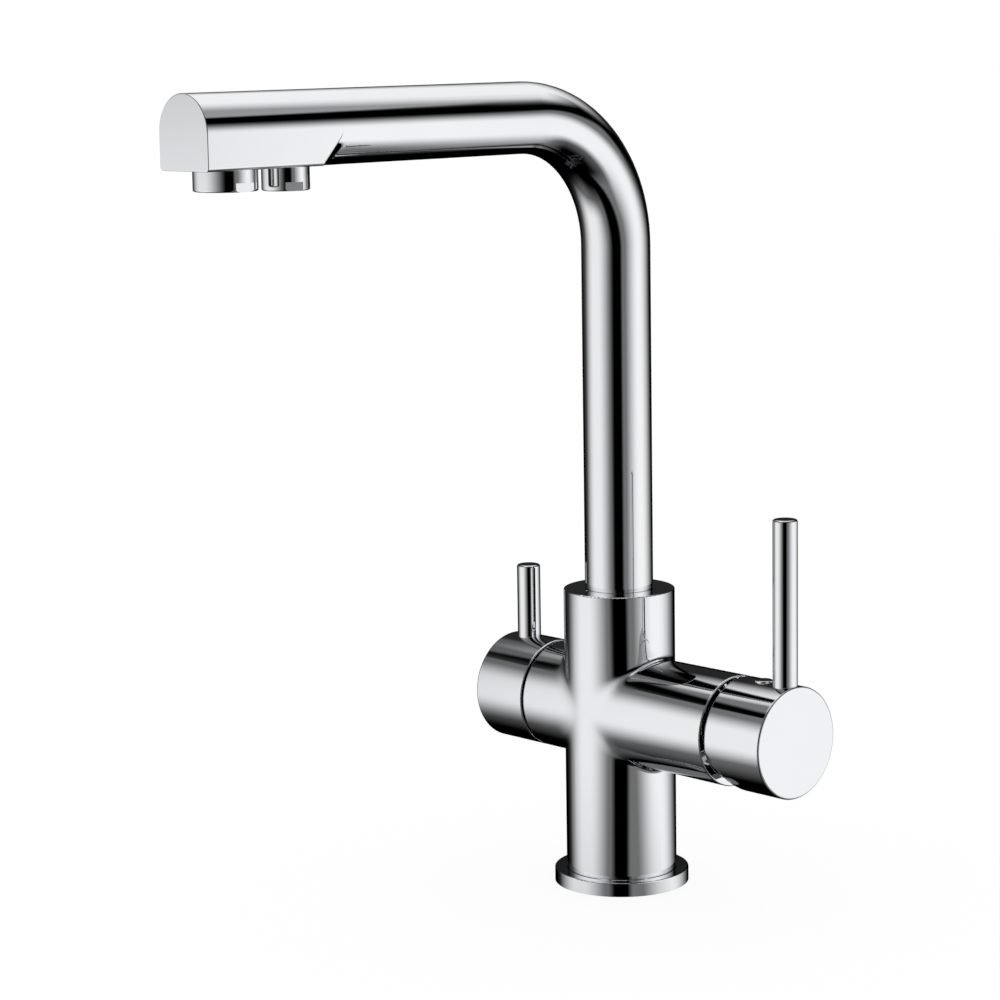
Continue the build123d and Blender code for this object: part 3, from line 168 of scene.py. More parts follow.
bpy.ops.mesh.primitive_uv_sphere_add(segments=96, ring_count=48, radius=TENT_RADIUS, location=TENT_CENTRE)
tent = bpy.context.object
tent.name = "light_tent"
bpy.ops.object.transform_apply(location=True, rotation=True, scale=True)
bpy.ops.object.shade_smooth()
for ray in ("camera", "diffuse", "shadow", "volume_scatter"):
    setattr(tent, f"visible_{ray}", False)
tent_cloth, add = plain_material("tent_cloth")
tent_cloth.cycles.emission_sampling = "NONE"
step, vector = arithmetic(add), vector_arithmetic(add)
place = add("ShaderNodeTexCoord").outputs["Object"]
outward = vector("NORMALIZE", vector("SUBTRACT", place, TENT_CENTRE))
turn = {"Vector": outward, "Angle": radians(90 - CAMERA_AZIMUTH)}
outward = add("ShaderNodeVectorRotate", turn, rotation_type="Z_AXIS").outputs[0]
near, right, up = add("ShaderNodeSeparateXYZ", {0: outward}).outputs
# degrees on the tent: side is 0 at the camera, 90 at the picture's right and 180 at the back, and height is 90
# overhead; behind counts both ways from the back
side = step("MULTIPLY", step("ARCTAN2", right, near), degrees(1))
height = step("MULTIPLY", step("ARCSINE", up), degrees(1))
behind = step("ABSOLUTE", step("WRAP", step("SUBTRACT", side, BACK_SIDE), 180.0, -180.0))
# heights that slope, for the lamps whose upper edge does
left_slope = step("SUBTRACT", height, step("MULTIPLY", step("ADD", side, 90.0), 0.32))
right_slope = step("ADD", height, step("MULTIPLY", step("SUBTRACT", side, 72.0), 0.2))
back_slope = step("SUBTRACT", height, step("MULTIPLY", step("MAXIMUM", step("SUBTRACT", behind, 40.0), 0.0), 0.25))
# the roof gets brighter from front right to back left
across_roof = step("ADD", near, step("MULTIPLY", right, 0.5))
roof = ramp(add, across_roof, ROOF_DARK_END, ROOF_BRIGHT_END, smooth=True)

soft_lamp = soft_lamp_group()
light = 0.0
for across, upward, edges, leans, brightness in (
    # the lamp on the left, and the weaker cloth round it, whose upper edge comes down towards the back
    (side, height, (-136, -84, -68, -11, -49, -15, 11, 43), (0.14, 0.14), 0.95),
    (side, left_slope, (-151, -84, -27, -14, -78, -36, 41.2, 42.4), (-0.2, 0.0), 0.18),
    # the lamp on the right, and the cloth round it
    (side, right_slope, (11.5, 73, 82, 150, -44, -14, 17.4, 42.8), (0.17, -0.35), 1.03),
    (side, height, (9.5, 20, 112, 124, -66, -46, 34, 39), (0.12, -0.15), 0.18),
    # the roof: a grey all round, the bright part, and its glow on the cloth below it at the back and on the right
    (behind, height, (*ALL_ROUND, 54.5, 59.5, *TO_THE_TOP), (0.0, 0.0), 0.34),
    (behind, height, (*ALL_ROUND, 52, 61.5, *TO_THE_TOP), (0.0, 0.0), roof),
    (behind, back_slope, (62, 40, -10, -20, 33, 60, *TO_THE_TOP), (0.0, 0.0), 1.0),
    (side, height, (85, 110, 135, 150, 45.5, 60, *TO_THE_TOP), (0.0, 0.0), 0.85),
    # faint light on the dark cloth at the back, and three paler patches higher up on the back left
    (behind, height, (36, 20, -10, -20, 4, 12, 60, 80), (0.0, 0.0), 0.022),
    (side, height, (-170, -155, -128, -121, 28, 40, *TO_THE_TOP), (0.0, 0.0), 0.13),
    (side, height, (-150, -139, -131, -115, 44, 53, *TO_THE_TOP), (0.0, 0.0), 0.74),
    (side, height, (-150, -138, -104, -86, 46, 50, *TO_THE_TOP), (0.0, 0.0), 0.2),
):
    sockets = {"Side": across, "Height": upward, "Start Lean": leans[0], "End Lean": leans[1], "Brightness": brightness}
    lamp = add("ShaderNodeGroup", sockets | dict(zip(LAMP_EDGES, edges)), node_tree=soft_lamp)
    light = step("MAXIMUM", light, lamp.outputs["Light"])
tone = add("ShaderNodeVectorMath", {0: TENT_TONE, "Scale": light}, operation="SCALE").outputs[0]
glow = add("ShaderNodeEmission", {"Color": tone, "Strength": 1.0})
add("ShaderNodeOutputMaterial", {"Surface": glow.outputs[0]})
tent.data.materials.append(tent_cloth)

world = bpy.data.worlds.new("studio")
bpy.context.scene.world = world
world.use_nodes = True
backdrop = world.node_tree.nodes["Background"].inputs
backdrop["Color"].default_value = (1.0, 1.0, 1.0, 1.0)
backdrop["Strength"].default_value = 1.0

bpy.ops.mesh.primitive_circle_add(vertices=96, radius=FLOOR_RADIUS, fill_type="NGON", location=(0, 0, -FLOOR_DROP))
floor = bpy.context.object
floor.name = "studio_floor"
bpy.ops.object.transform_apply(location=True, rotation=True, scale=True)
floor.visible_glossy = False
white_floor, add = plain_material("white_floor")
seen_by_camera = add("ShaderNodeLightPath").outputs["Is Camera Ray"]
glowing = arithmetic(add)("MULTIPLY", seen_by_camera, FLOOR_GLOW)
shadowed = add("ShaderNodeBsdfDiffuse", {"Color": (1.0, 1.0, 1.0, 1.0)}).outputs[0]
white = add("ShaderNodeEmission", {"Color": (1.0, 1.0, 1.0, 1.0), "Strength": 1.0}).outputs[0]
floor_surface = add("ShaderNodeMixShader", {0: glowing, 1: shadowed, 2: white}).outputs[0]
add("ShaderNodeOutputMaterial", {"Surface": floor_surface})
floor.data.materials.append(white_floor)


# ------------------------------------------------------------------------------------------------ brass body
# One brass casting with the column, the collar and both arms, buffed and chrome plated. The plating stops at
# the foot: the underside and the tapped holes in it are machined after plating and stay bare brass.
CHROME = (0.87, 0.875, 0.89, 1.0)
CHROME_SHADE = (0.845, 0.85, 0.87, 1.0)
BARE_BRASS = (0.80, 0.60, 0.27, 1.0)
BARE_BRASS_SHADE = (0.66, 0.47, 0.20, 1.0)
BARE_BELOW = 0.0003
DRILLED_WITHIN, DRILLED_BELOW = 0.0192, 0.05
ARM_Z = 0.075
SADDLE_MELT = 0.009
SADDLE_OFF_ARM = 0.0215, 0.012
SADDLE_OFF_COLUMN = 0.031, 0.024
RIM_ROUND = 0.0005
MIXER_RIM, FILTER_RIM = 0.0654, -0.0345


def wear(node_name, material):
    """Put a material on every slot of a CAD node."""
    for slot in cad[node_name].material_slots:
        slot.material = material


def noise(add, place, scale, detail, **more):
    """Noise from 0 to 1 at a place, with its scale per metre."""
    sockets = {"Vector": place, "Scale": scale, "Detail": detail} | more
    return add("ShaderNodeTexNoise", sockets).outputs["Fac"]


def blend(add, factor, one, other, kind="RGBA"):
    """What fades from one into the other with a factor: colours, numbers (FLOAT) or directions (VECTOR)."""
    socket, output = {"FLOAT": (2, 0), "VECTOR": (4, 1), "RGBA": (6, 2)}[kind]
    return add("ShaderNodeMix", {0: factor, socket: one, socket + 1: other}, data_type=kind).outputs[output]


def surface(add, colour, roughness, normal, metallic=1.0):
    """A material's surface, from what gives its colour, roughness and normal."""
    shown = {"Base Color": colour, "Roughness": roughness, "Normal": normal, "Metallic": metallic}
    add("ShaderNodeOutputMaterial", {"Surface": add("ShaderNodeBsdfPrincipled", shown).outputs[0]})


def buffed_plate_group():
    """Buffed chrome: the slow unevenness that a polishing wheel leaves, and faint wiping marks in its gloss."""
    inputs = {"Place": Vector(), "Stretch": Vector(), "Wave Depth": 0.00002, "Gloss": 0.025, "Marks": 0.03}
    group, add, given = new_group("buffed_plate", inputs, {"Colour": tuple, "Roughness": float, "Normal": Vector})
    step = arithmetic(add)
    drawn = vector_arithmetic(add)("MULTIPLY", given["Place"], given["Stretch"])
    slow = noise(add, drawn, 50.0, 1.5)
    fine = noise(add, drawn, 900.0, 4.0, Roughness=0.7)
    smear = noise(add, given["Place"], 38.0, 5.0, Distortion=0.6)
    marks = step("MULTIPLY", ramp(add, smear, 0.42, 0.7), given["Marks"])
    rough = step("ADD", given["Gloss"], step("MULTIPLY", fine, marks))
    bump = add("ShaderNodeBump", {"Height": slow, "Distance": given["Wave Depth"], "Strength": 1.0}).outputs[0]
    colour = blend(add, smear, CHROME, CHROME_SHADE)
    add("NodeGroupOutput", {"Colour": colour, "Roughness": rough, "Normal": bump})
    return group


def turned_group():
    """Lathe marks: fine rings round an axis through a centre, as shades, gloss and bump."""
    inputs = {"Place": Vector(), "Centre": Vector(), "Axis": Vector(), "Pitch": 0.0001, "Depth": 0.000004}
    inputs |= {"Light Colour": (1.0, 1.0, 1.0, 1.0), "Dark Colour": (0.5, 0.5, 0.5, 1.0), "Gloss": 0.2, "Dull": 0.35}
    group, add, given = new_group("turned_marks", inputs, {"Colour": tuple, "Roughness": float, "Normal": Vector})
    step, vector = arithmetic(add), vector_arithmetic(add)
    off = vector("SUBTRACT", given["Place"], given["Centre"])
    along, whole = vector("DOT_PRODUCT", off, given["Axis"]), vector("LENGTH", off)
    out = step("SQRT", step("MAXIMUM", step("SUBTRACT", step("POWER", whole, 2.0), step("POWER", along, 2.0)), 0.0))
    turns = step("DIVIDE", step("ADD", along, out), given["Pitch"])
    rings = add("ShaderNodeTexNoise", {"W": turns, "Scale": 1.0, "Detail": 3.0}, noise_dimensions="1D").outputs["Fac"]
    stain = noise(add, given["Place"], 220.0, 4.0)
    shade = ramp(add, step("MULTIPLY", step("ADD", rings, stain), 0.5), 0.35, 0.65)
    colour = blend(add, shade, given["Dark Colour"], given["Light Colour"])
    rough = blend(add, shade, given["Dull"], given["Gloss"], "FLOAT")
    bump = add("ShaderNodeBump", {"Height": rings, "Distance": given["Depth"], "Strength": 1.0}).outputs[0]
    add("NodeGroupOutput", {"Colour": colour, "Roughness": rough, "Normal": bump})
    return group


buffed_plate = buffed_plate_group()
turned_marks = turned_group()


def buffed(add, place, stretch=(1, 1, 1), wave_depth=0.00002, gloss=0.025, marks=0.03):
    """The sockets of a buffed plate, drawn out along a direction: its colour, roughness and normal."""
    sockets = {"Place": place, "Stretch": stretch, "Wave Depth": wave_depth, "Gloss": gloss, "Marks": marks}
    return add("ShaderNodeGroup", sockets, node_tree=buffed_plate).outputs


def lathed(add, place, light, dark, centre, axis, pitch=0.00012, depth=0.000004, gloss=0.18, dull=0.34):
    """The sockets of a turned surface: its colour, roughness and normal."""
    sockets = {"Place": place, "Centre": centre, "Axis": axis, "Pitch": pitch, "Depth": depth}
    sockets |= {"Light Colour": light, "Dark Colour": dark, "Gloss": gloss, "Dull": dull}
    return add("ShaderNodeGroup", sockets, node_tree=turned_marks).outputs


def chrome(name, broken=0.0, **buffing):
    """Chrome plate over a buffed surface, whose edges can be broken."""
    made, add = plain_material(name)
    plate = buffed(add, add("ShaderNodeTexCoord").outputs["Object"], **buffing)
    normal = plate["Normal"]
    if broken:
        normal = add("ShaderNodeBevel", {"Radius": broken, "Normal": normal}, samples=8).outputs[0]
    surface(add, plate["Colour"], plate["Roughness"], normal)
    return made


def turned_metal(name, light, dark, centre, axis, **marks):
    """Bare metal off the lathe, with its rings round an axis."""
    made, add = plain_material(name)
    bare = lathed(add, add("ShaderNodeTexCoord").outputs["Object"], light, dark, centre, axis, **marks)
    surface(add, bare["Colour"], bare["Roughness"], bare["Normal"])
    return made


# the casting shows both: chrome outside, bare turned brass below the foot and inside the tapped holes
casting_finish, add = plain_material("chromed_casting")
step, vector = arithmetic(add), vector_arithmetic(add)
place = add("ShaderNodeTexCoord").outputs["Object"]
across, _, level = add("ShaderNodeSeparateXYZ", {0: place}).outputs
from_axis = vector("LENGTH", vector("MULTIPLY", place, (1, 1, 0)))
foot = step("LESS_THAN", level, BARE_BELOW)
drilled = step("MULTIPLY", step("LESS_THAN", from_axis, DRILLED_WITHIN), step("LESS_THAN", level, DRILLED_BELOW))
unplated = step("MAXIMUM", foot, drilled)
plate = buffed(add, place)
bare = lathed(
    add, place, BARE_BRASS, BARE_BRASS_SHADE, (0, 0, 0), (0, 0, 1), pitch=0.0002, depth=0.000005, gloss=0.2, dull=0.36
)
colour = blend(add, unplated, plate["Colour"], bare["Colour"])
rough = blend(add, unplated, plate["Roughness"], bare["Roughness"], "FLOAT")
normal = blend(add, unplated, plate["Normal"], bare["Normal"], "VECTOR")
# buffing melts the arms into the column at the height of their axis, and leaves the crotch above and below
# crisp; the rims of the arms' open ends are only broken
at_arm = ramp(add, step("ABSOLUTE", step("SUBTRACT", level, ARM_Z)), *SADDLE_OFF_ARM, smooth=True)
at_column = ramp(add, step("ABSOLUTE", across), *SADDLE_OFF_COLUMN)
at_rim = step("ADD", step("GREATER_THAN", across, MIXER_RIM), step("LESS_THAN", across, FILTER_RIM))
melt = step("MULTIPLY", step("MULTIPLY", at_arm, at_column), SADDLE_MELT)
melt = step("MAXIMUM", melt, step("MULTIPLY", at_rim, RIM_ROUND))
normal = add("ShaderNodeBevel", {"Radius": melt, "Normal": normal}, samples=12).outputs[0]
surface(add, colour, rough, normal)
wear("body_casting", casting_finish)


# ------------------------------------------------------------------------------------------------ tapped holes
# The threads in the casting's underside: M10x1 in the hot, cold and filtered inlets, and M6x1 in the two holes
# for the fixing studs. Each is cut with a tap, so it is a ridge that winds up the wall of its hole.
PORT_CIRCLE = 0.011
PORT_THREAD = {"radius": 0.0045, "rise": 0.00055, "pitch": 0.001, "turns": 11}
STUD_CIRCLE = 0.0155
STUD_THREAD = {"radius": 0.0025, "rise": 0.0004, "pitch": 0.001, "turns": 14}
HALF_ROOT_SHARE = 0.44
THREAD_SINK = 0.00012
THREAD_START = 0.0006
THREAD_STEPS = 28


def tapped_thread(name, radius, rise, pitch, turns):
    """One internal thread round the origin: a small triangle wound up a hole's wall, with both ends closed."""
    bpy.ops.mesh.primitive_circle_add(
        vertices=3, radius=rise, fill_type="NGON", location=(radius, 0, THREAD_START), rotation=(pi / 2, 0, 0)
    )
    thread = bpy.context.object
    thread.name = name
    bpy.ops.object.transform_apply(location=True, rotation=True, scale=True)
    across = sorted(thread.data.vertices, key=lambda point: point.co.x)
    half_root = pitch * HALF_ROOT_SHARE
    for point, (off, up) in zip(across, ((-rise, 0), (THREAD_SINK, half_root), (THREAD_SINK, -half_root))):
        point.co = Vector((radius + off, 0, THREAD_START + up))
    wind = thread.modifiers.new("wind", "SCREW")
    wind.steps = wind.render_steps = THREAD_STEPS
    wind.iterations = turns
    wind.screw_offset = pitch
    wind.use_merge_vertices = False
    bpy.ops.object.modifier_apply(modifier="wind")
    bpy.ops.object.mode_set(mode="EDIT")
    bpy.ops.mesh.select_all(action="SELECT")
    bpy.ops.mesh.remove_doubles(threshold=1e-7)
    bpy.ops.mesh.normals_make_consistent(inside=False)
    bpy.ops.object.mode_set(mode="OBJECT")
    bpy.ops.object.shade_smooth_by_angle(angle=radians(35))
    thread.data.materials.append(thread_brass)
    return thread


def copied(piece, name, move):
    """A copy of a piece with a mesh of its own, moved within that mesh."""
    copy = piece.copy()
    copy.data = piece.data.copy()
    copy.name = copy.data.name = name
    copy.data.transform(move)
    bpy.context.scene.collection.objects.link(copy)
    return copy


thread_brass = turned_metal("tapped_brass", BARE_BRASS, BARE_BRASS_SHADE, (0, 0, 0), (0, 0, 1), pitch=0.00025)
for circle, size, places in (
    (PORT_CIRCLE, PORT_THREAD, {"hot_inlet_thread": 60, "cold_inlet_thread": -60, "filter_inlet_thread": 180}),
    (STUD_CIRCLE, STUD_THREAD, {"left_stud_thread": 120, "right_stud_thread": -120}),
):
    pattern = tapped_thread("thread_pattern", **size)
    for name, angle in places.items():
        move = Matrix.Translation((circle * cos(radians(angle)), circle * sin(radians(angle)), 0))
        thread = copied(pattern, name, move)
        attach(thread, "tap_body")
    bpy.data.objects.remove(pattern)
    bpy.ops.object.select_all(action="DESELECT")


# ------------------------------------------------------------------------------------------------ base flange
# A chromed brass ring under the column, turned on a lathe and buffed. A black rubber seal, moulded as a ring,
# lies in a groove below it.
RUBBER = (0.022, 0.022, 0.023, 1.0)
RUBBER_BLOOM = (0.05, 0.05, 0.052, 1.0)


def moulded_group():
    """Moulded rubber or plastic: a fine grain from the mould, with clouds of a second shade."""
    inputs = {"Place": Vector(), "Light Colour": (1.0, 1.0, 1.0, 1.0), "Dark Colour": (0.5, 0.5, 0.5, 1.0)}
    inputs |= {"Grain Depth": 0.000008, "Cloud Scale": 140.0, "Gloss": 0.4, "Dull": 0.55}
    group, add, given = new_group("moulded_grain", inputs, {"Colour": tuple, "Roughness": float, "Normal": Vector})
    shade = ramp(add, noise(add, given["Place"], given["Cloud Scale"], 4.0), 0.35, 0.68)
    grain = noise(add, given["Place"], 2500.0, 2.0)
    colour = blend(add, shade, given["Dark Colour"], given["Light Colour"])
    rough = blend(add, shade, given["Gloss"], given["Dull"], "FLOAT")
    bump = add("ShaderNodeBump", {"Height": grain, "Distance": given["Grain Depth"], "Strength": 1.0}).outputs[0]
    add("NodeGroupOutput", {"Colour": colour, "Roughness": rough, "Normal": bump})
    return group


moulded_grain = moulded_group()


def moulded(name, light, dark, gloss, dull, depth=0.000008, cloud=140.0):
    """A moulded piece of rubber, plastic or fired ceramic."""
    made, add = plain_material(name)
    sockets = {"Place": add("ShaderNodeTexCoord").outputs["Object"], "Light Colour": light, "Dark Colour": dark}
    sockets |= {"Grain Depth": depth, "Cloud Scale": cloud, "Gloss": gloss, "Dull": dull}
    grain = add("ShaderNodeGroup", sockets, node_tree=moulded_grain).outputs
    surface(add, grain["Colour"], grain["Roughness"], grain["Normal"], metallic=0.0)
    return made


black_rubber = moulded("black_rubber", RUBBER_BLOOM, RUBBER, gloss=0.5, dull=0.66)
wear("base_flange", chrome("chromed_flange", stretch=(1, 1, 4)))
wear("base_seal", black_rubber)


# ------------------------------------------------------------------------------------------------ spout seat
# What the spout turns on: a white low-friction washer sunk in the collar, and a stainless grub screw through
# the back of the collar, whose tip runs in the groove of the spout's tail and keeps the spout from lifting.
SMOOTH_WHITE = (0.86, 0.86, 0.84, 1.0)
SMOOTH_WHITE_SHADE = (0.80, 0.80, 0.775, 1.0)
STEEL = (0.66, 0.655, 0.65, 1.0)
STEEL_SHADE = (0.52, 0.515, 0.51, 1.0)
LOCK_SCREW_Z = 0.112
wear("spout_slip_washer", moulded("smooth_white_plastic", SMOOTH_WHITE, SMOOTH_WHITE_SHADE, gloss=0.3, dull=0.4))
wear("spout_lock_screw", turned_metal("lock_screw_steel", STEEL, STEEL_SHADE, (0, 0, LOCK_SCREW_Z), (0, 1, 0)))


# ------------------------------------------------------------------------------------------------ spout
# The tail is turned from brass with its flange chromed, and carries two rubber rings. The tube is drawn brass,
# bent once and chromed, soldered to the tail below and to the cast head at its end. Polishing gives tube and
# head their true forms, so the reflections run on smoothly along them.
TUBE_RADIUS = 0.01425
BEND_RADIUS = 0.0534
SPOUT_AXIS = 0.322
# painted shade: the near-black colour painted on the inside of the spout's bend, and the limits of that patch
PAINTED_BEND_SHADE = (0.04, 0.04, 0.045, 1.0)
SHADE_INWARD = 0.4, 0.7
SHADE_ABOVE = 0.025, 0.031
SHADE_BEHIND = 0.006, 0.014
INSIDE_BY = 0.0004
FLAT_PLAY = 0.0000006
ROUND_DEPTH, ROUND_PLAY = 0.00005, 0.00008
HEAD_NOSE = -0.2191
HEEL_TOP = -0.1531
HEEL_ANGLE = radians(48)
HEEL_HOLLOW = 0.0045
HOLLOW_BELOW = -0.0045, -0.0075
HOLLOW_CURVE = 1.5
wear("spout_tail", chrome("chromed_tail", stretch=(1, 1, 6), gloss=0.05))
wear("tail_o_rings", black_rubber)


def spout_route_group():
    """Which way is straight out from the spout's line: up the column's axis, round the bend, and level forward.

    The last output masks a patch on the inside of the bend whose colour is painted near black: a painted shade that
    stands in for the dark reflection there.
    """
    kinds = {"Out": Vector, "Distance": float, "Along": float, "Up": float, "Across": float, "Inner Bend": float}
    group, add, given = new_group("spout_route", {"Place": Vector()}, kinds)
    step, vector = arithmetic(add), vector_arithmetic(add)

    def upright(forward, up):
        return add("ShaderNodeCombineXYZ", {1: forward, 2: up}).outputs[0]

    across, forward, up = add("ShaderNodeSeparateXYZ", {0: given["Place"]}).outputs
    # from the centre of the bend
    along, rise = step("SUBTRACT", forward, -BEND_RADIUS), step("SUBTRACT", up, SPOUT_AXIS - BEND_RADIUS)
    towards = vector("NORMALIZE", upright(step("MAXIMUM", along, 0.0), step("MAXIMUM", rise, 0.0)))
    bend = add("ShaderNodeVectorMath", {0: towards, "Scale": BEND_RADIUS}, operation="SCALE").outputs[0]
    line = vector("ADD", bend, upright(step("MINIMUM", along, 0.0), step("MINIMUM", rise, 0.0)))
    here = add("ShaderNodeCombineXYZ", {0: across, 1: along, 2: rise}).outputs[0]
    off_line = vector("SUBTRACT", here, line)
    out = vector("NORMALIZE", off_line)
    inward = step("MULTIPLY", vector("DOT_PRODUCT", out, towards), -1.0)
    ends = step("MULTIPLY", ramp(add, rise, *SHADE_ABOVE), ramp(add, along, *SHADE_BEHIND))
    inner = step("MULTIPLY", ramp(add, inward, *SHADE_INWARD), ends)
    found = {"Out": out, "Distance": vector("LENGTH", off_line), "Along": forward, "Across": across}
    add("NodeGroupOutput", found | {"Up": step("SUBTRACT", up, SPOUT_AXIS), "Inner Bend": inner})
    return group


spout_route = spout_route_group()


def in_axes(add, way, known_in, wanted_in):
    """A normal taken from the world's axes to the piece's own, which swivel with it, or back."""
    axes = {"vector_type": "NORMAL", "convert_from": known_in, "convert_to": wanted_in}
    return add("ShaderNodeVectorTransform", {0: way}, **axes).outputs[0]


def drawn_chrome(name, shape, **buffing):
    """Chrome on a surface polished to a true form, which shape gives from the mesh's own normal and the route, with a
    painted shade on the inside of the bend.
    """
    made, add = plain_material(name)
    vector = vector_arithmetic(add)
    place = add("ShaderNodeTexCoord").outputs["Object"]
    plate = buffed(add, place, **buffing)
    route = add("ShaderNodeGroup", {"Place": place}, node_tree=spout_route).outputs
    mesh_way = add("ShaderNodeNewGeometry").outputs["Normal"]
    own_way = in_axes(add, mesh_way, "WORLD", "OBJECT")
    form = in_axes(add, shape(add, own_way, route), "OBJECT", "WORLD")
    wave = vector("SUBTRACT", plate["Normal"], mesh_way)
    # painted shade: the inside of the bend is coloured near black, in place of the dark reflection seen there
    colour = blend(add, route["Inner Bend"], plate["Colour"], PAINTED_BEND_SHADE)
    surface(add, colour, plate["Roughness"], vector("NORMALIZE", vector("ADD", form, wave)))
    return made


def tube_shape(add, mesh_way, route):
    """The tube: round outside, all along its line."""
    outside = arithmetic(add)("GREATER_THAN", route["Distance"], TUBE_RADIUS - INSIDE_BY)
    return blend(add, outside, mesh_way, route["Out"], "VECTOR")


def head_shape(add, mesh_way, route):
    """The head: round above and behind, flat at the sides, with a buffed hollow behind the heel."""
    step = arithmetic(add)
    below = step("LESS_THAN", route["Up"], 0.0)
    on_flat = step("MULTIPLY", below, step("GREATER_THAN", step("ABSOLUTE", route["Across"]), TUBE_RADIUS - FLAT_PLAY))
    on_round = step("COMPARE", route["Distance"], TUBE_RADIUS - ROUND_DEPTH, ROUND_PLAY)
    on_round = step("MULTIPLY", on_round, step("SUBTRACT", 1.0, on_flat))
    on_round = step("MULTIPLY", on_round, step("GREATER_THAN", route["Along"], HEAD_NOSE))
    back = step("MULTIPLY", step("SUBTRACT", route["Along"], HEEL_TOP), sin(HEEL_ANGLE))
    behind_heel = step("SUBTRACT", back, step("MULTIPLY", route["Up"], cos(HEEL_ANGLE)))
    near = step("POWER", ramp(add, behind_heel, HEEL_HOLLOW, 0.0), HOLLOW_CURVE)
    hollow = step("MULTIPLY", near, ramp(add, route["Up"], *HOLLOW_BELOW, smooth=True))
    slope_way = (0, sin(HEEL_ANGLE), -cos(HEEL_ANGLE))
    hollowed = blend(add, hollow, route["Out"], slope_way, "VECTOR")
    form = blend(add, on_round, mesh_way, hollowed, "VECTOR")
    flat_way = add("ShaderNodeCombineXYZ", {0: step("SIGN", route["Across"])}).outputs[0]
    return blend(add, on_flat, form, flat_way, "VECTOR")


wear("spout_tube", drawn_chrome("chromed_tube", tube_shape, stretch=(1, 0.35, 0.35), wave_depth=0.000012))
wear("spout_head", drawn_chrome("chromed_head", head_shape))


# ------------------------------------------------------------------------------------------------ filtered line
# Filtered water runs through the spout in a line of its own: a turned brass connector with a rubber ring that
# plugs into the casting, and a white plastic tube pushed on its barb.
wear("line_connector", turned_metal("connector_brass", BARE_BRASS, BARE_BRASS_SHADE, (0, 0, 0), (0, 0, 1)))
wear("line_o_ring", black_rubber)
wear("filter_inner_tube", moulded("line_tube_plastic", SMOOTH_WHITE, SMOOTH_WHITE_SHADE, gloss=0.35, dull=0.45))


# ------------------------------------------------------------------------------------------------ outlets
# Two turned and chromed housings screwed up into the head against rubber washers. Each holds a moulded grey
# insert that straightens the water: a honeycomb in the mixed outlet, rings and ribs in the filtered one.
INSERT_GREY = (0.60, 0.61, 0.62, 1.0)
INSERT_GREY_SHADE = (0.50, 0.51, 0.52, 1.0)
MIXED_FOOT = Vector((0, -0.2009, 0.3012))
MIXED_RADIUS = 0.0101
FILTERED_FOOT = Vector((0, -0.1729, 0.3002))
FILTERED_RADIUS = 0.0073
INSERT_HEIGHT = 0.0046
RIM_WALL = 0.0011
RIM_BREAK, RIM_BREAK_SHARE = 0.00015, 0.3
CELL, CELL_WALL = 0.0019, 0.00035
LATTICE_IN_RIM = 0.7
LATTICE_RISE, LATTICE_SHORTER = 0.0004, 0.001
HUB_SHARE, HUB_DROP, HUB_HEIGHT = 0.42, 0.0003, 0.001
RING_RADII = 0.0052, 0.0039, 0.0026
RING_WALL, RING_RISE, RING_SHORTER = 0.00045, 0.0003, 0.0008
BOSS_RADIUS, BOSS_MIDDLE, BOSS_TIP = 0.0012, 0.0024, 0.0003
BOSS_INSET = 0.7
RIBS = 12
RIB_WALL, RIB_BREAK, RIB_TALL = 0.0004, 0.0001, 0.7

wear("mixed_outlet", chrome("chromed_mixed_outlet", stretch=(1, 1, 8), gloss=0.035))
wear("filtered_outlet", chrome("chromed_filtered_outlet", stretch=(1, 1, 8), gloss=0.035))
wear("mixed_washer", black_rubber)
wear("filtered_washer", black_rubber)


def break_edges(piece, width, segments):
    """Break the sharp edges of the active piece."""
    edges = piece.modifiers.new("edges", "BEVEL")
    edges.width = width
    edges.segments = segments
    bpy.ops.object.modifier_apply(modifier="edges")


def hollow_ring(foot, radius, wall, height, sides=72):
    """A short tube with its rims broken, made from a disc whose middle is inset and opened."""
    middle = foot + Vector((0, 0, height / 2))
    bpy.ops.mesh.primitive_cylinder_add(vertices=sides, radius=radius, depth=height, location=middle)
    ring = bpy.context.object
    bpy.ops.object.transform_apply(location=True, rotation=True, scale=True)
    bpy.ops.object.mode_set(mode="EDIT")
    bpy.ops.mesh.select_mode(type="FACE")
    bpy.ops.mesh.select_all(action="DESELECT")
    bpy.ops.object.mode_set(mode="OBJECT")
    for face in ring.data.polygons:
        face.select = abs(face.normal.z) > 0.9
    bpy.ops.object.mode_set(mode="EDIT")
    bpy.ops.mesh.inset(thickness=wall, use_individual=True)
    bpy.ops.mesh.bridge_edge_loops()
    bpy.ops.mesh.select_all(action="SELECT")
    bpy.ops.mesh.normals_make_consistent(inside=False)
    bpy.ops.object.mode_set(mode="OBJECT")
    break_edges(ring, min(RIM_BREAK, wall * RIM_BREAK_SHARE), segments=2)
    return ring


def join(pieces, name):
    """Join pieces into one object."""
    bpy.ops.object.select_all(action="DESELECT")
    for piece in pieces:
        piece.select_set(True)
    bpy.context.view_layer.objects.active = pieces[0]
    bpy.ops.object.join()
    joined = bpy.context.object
    joined.name = name
    joined.data.name = name
    bpy.ops.object.shade_smooth_by_angle(angle=radians(35))
    bpy.ops.object.select_all(action="DESELECT")
    return joined


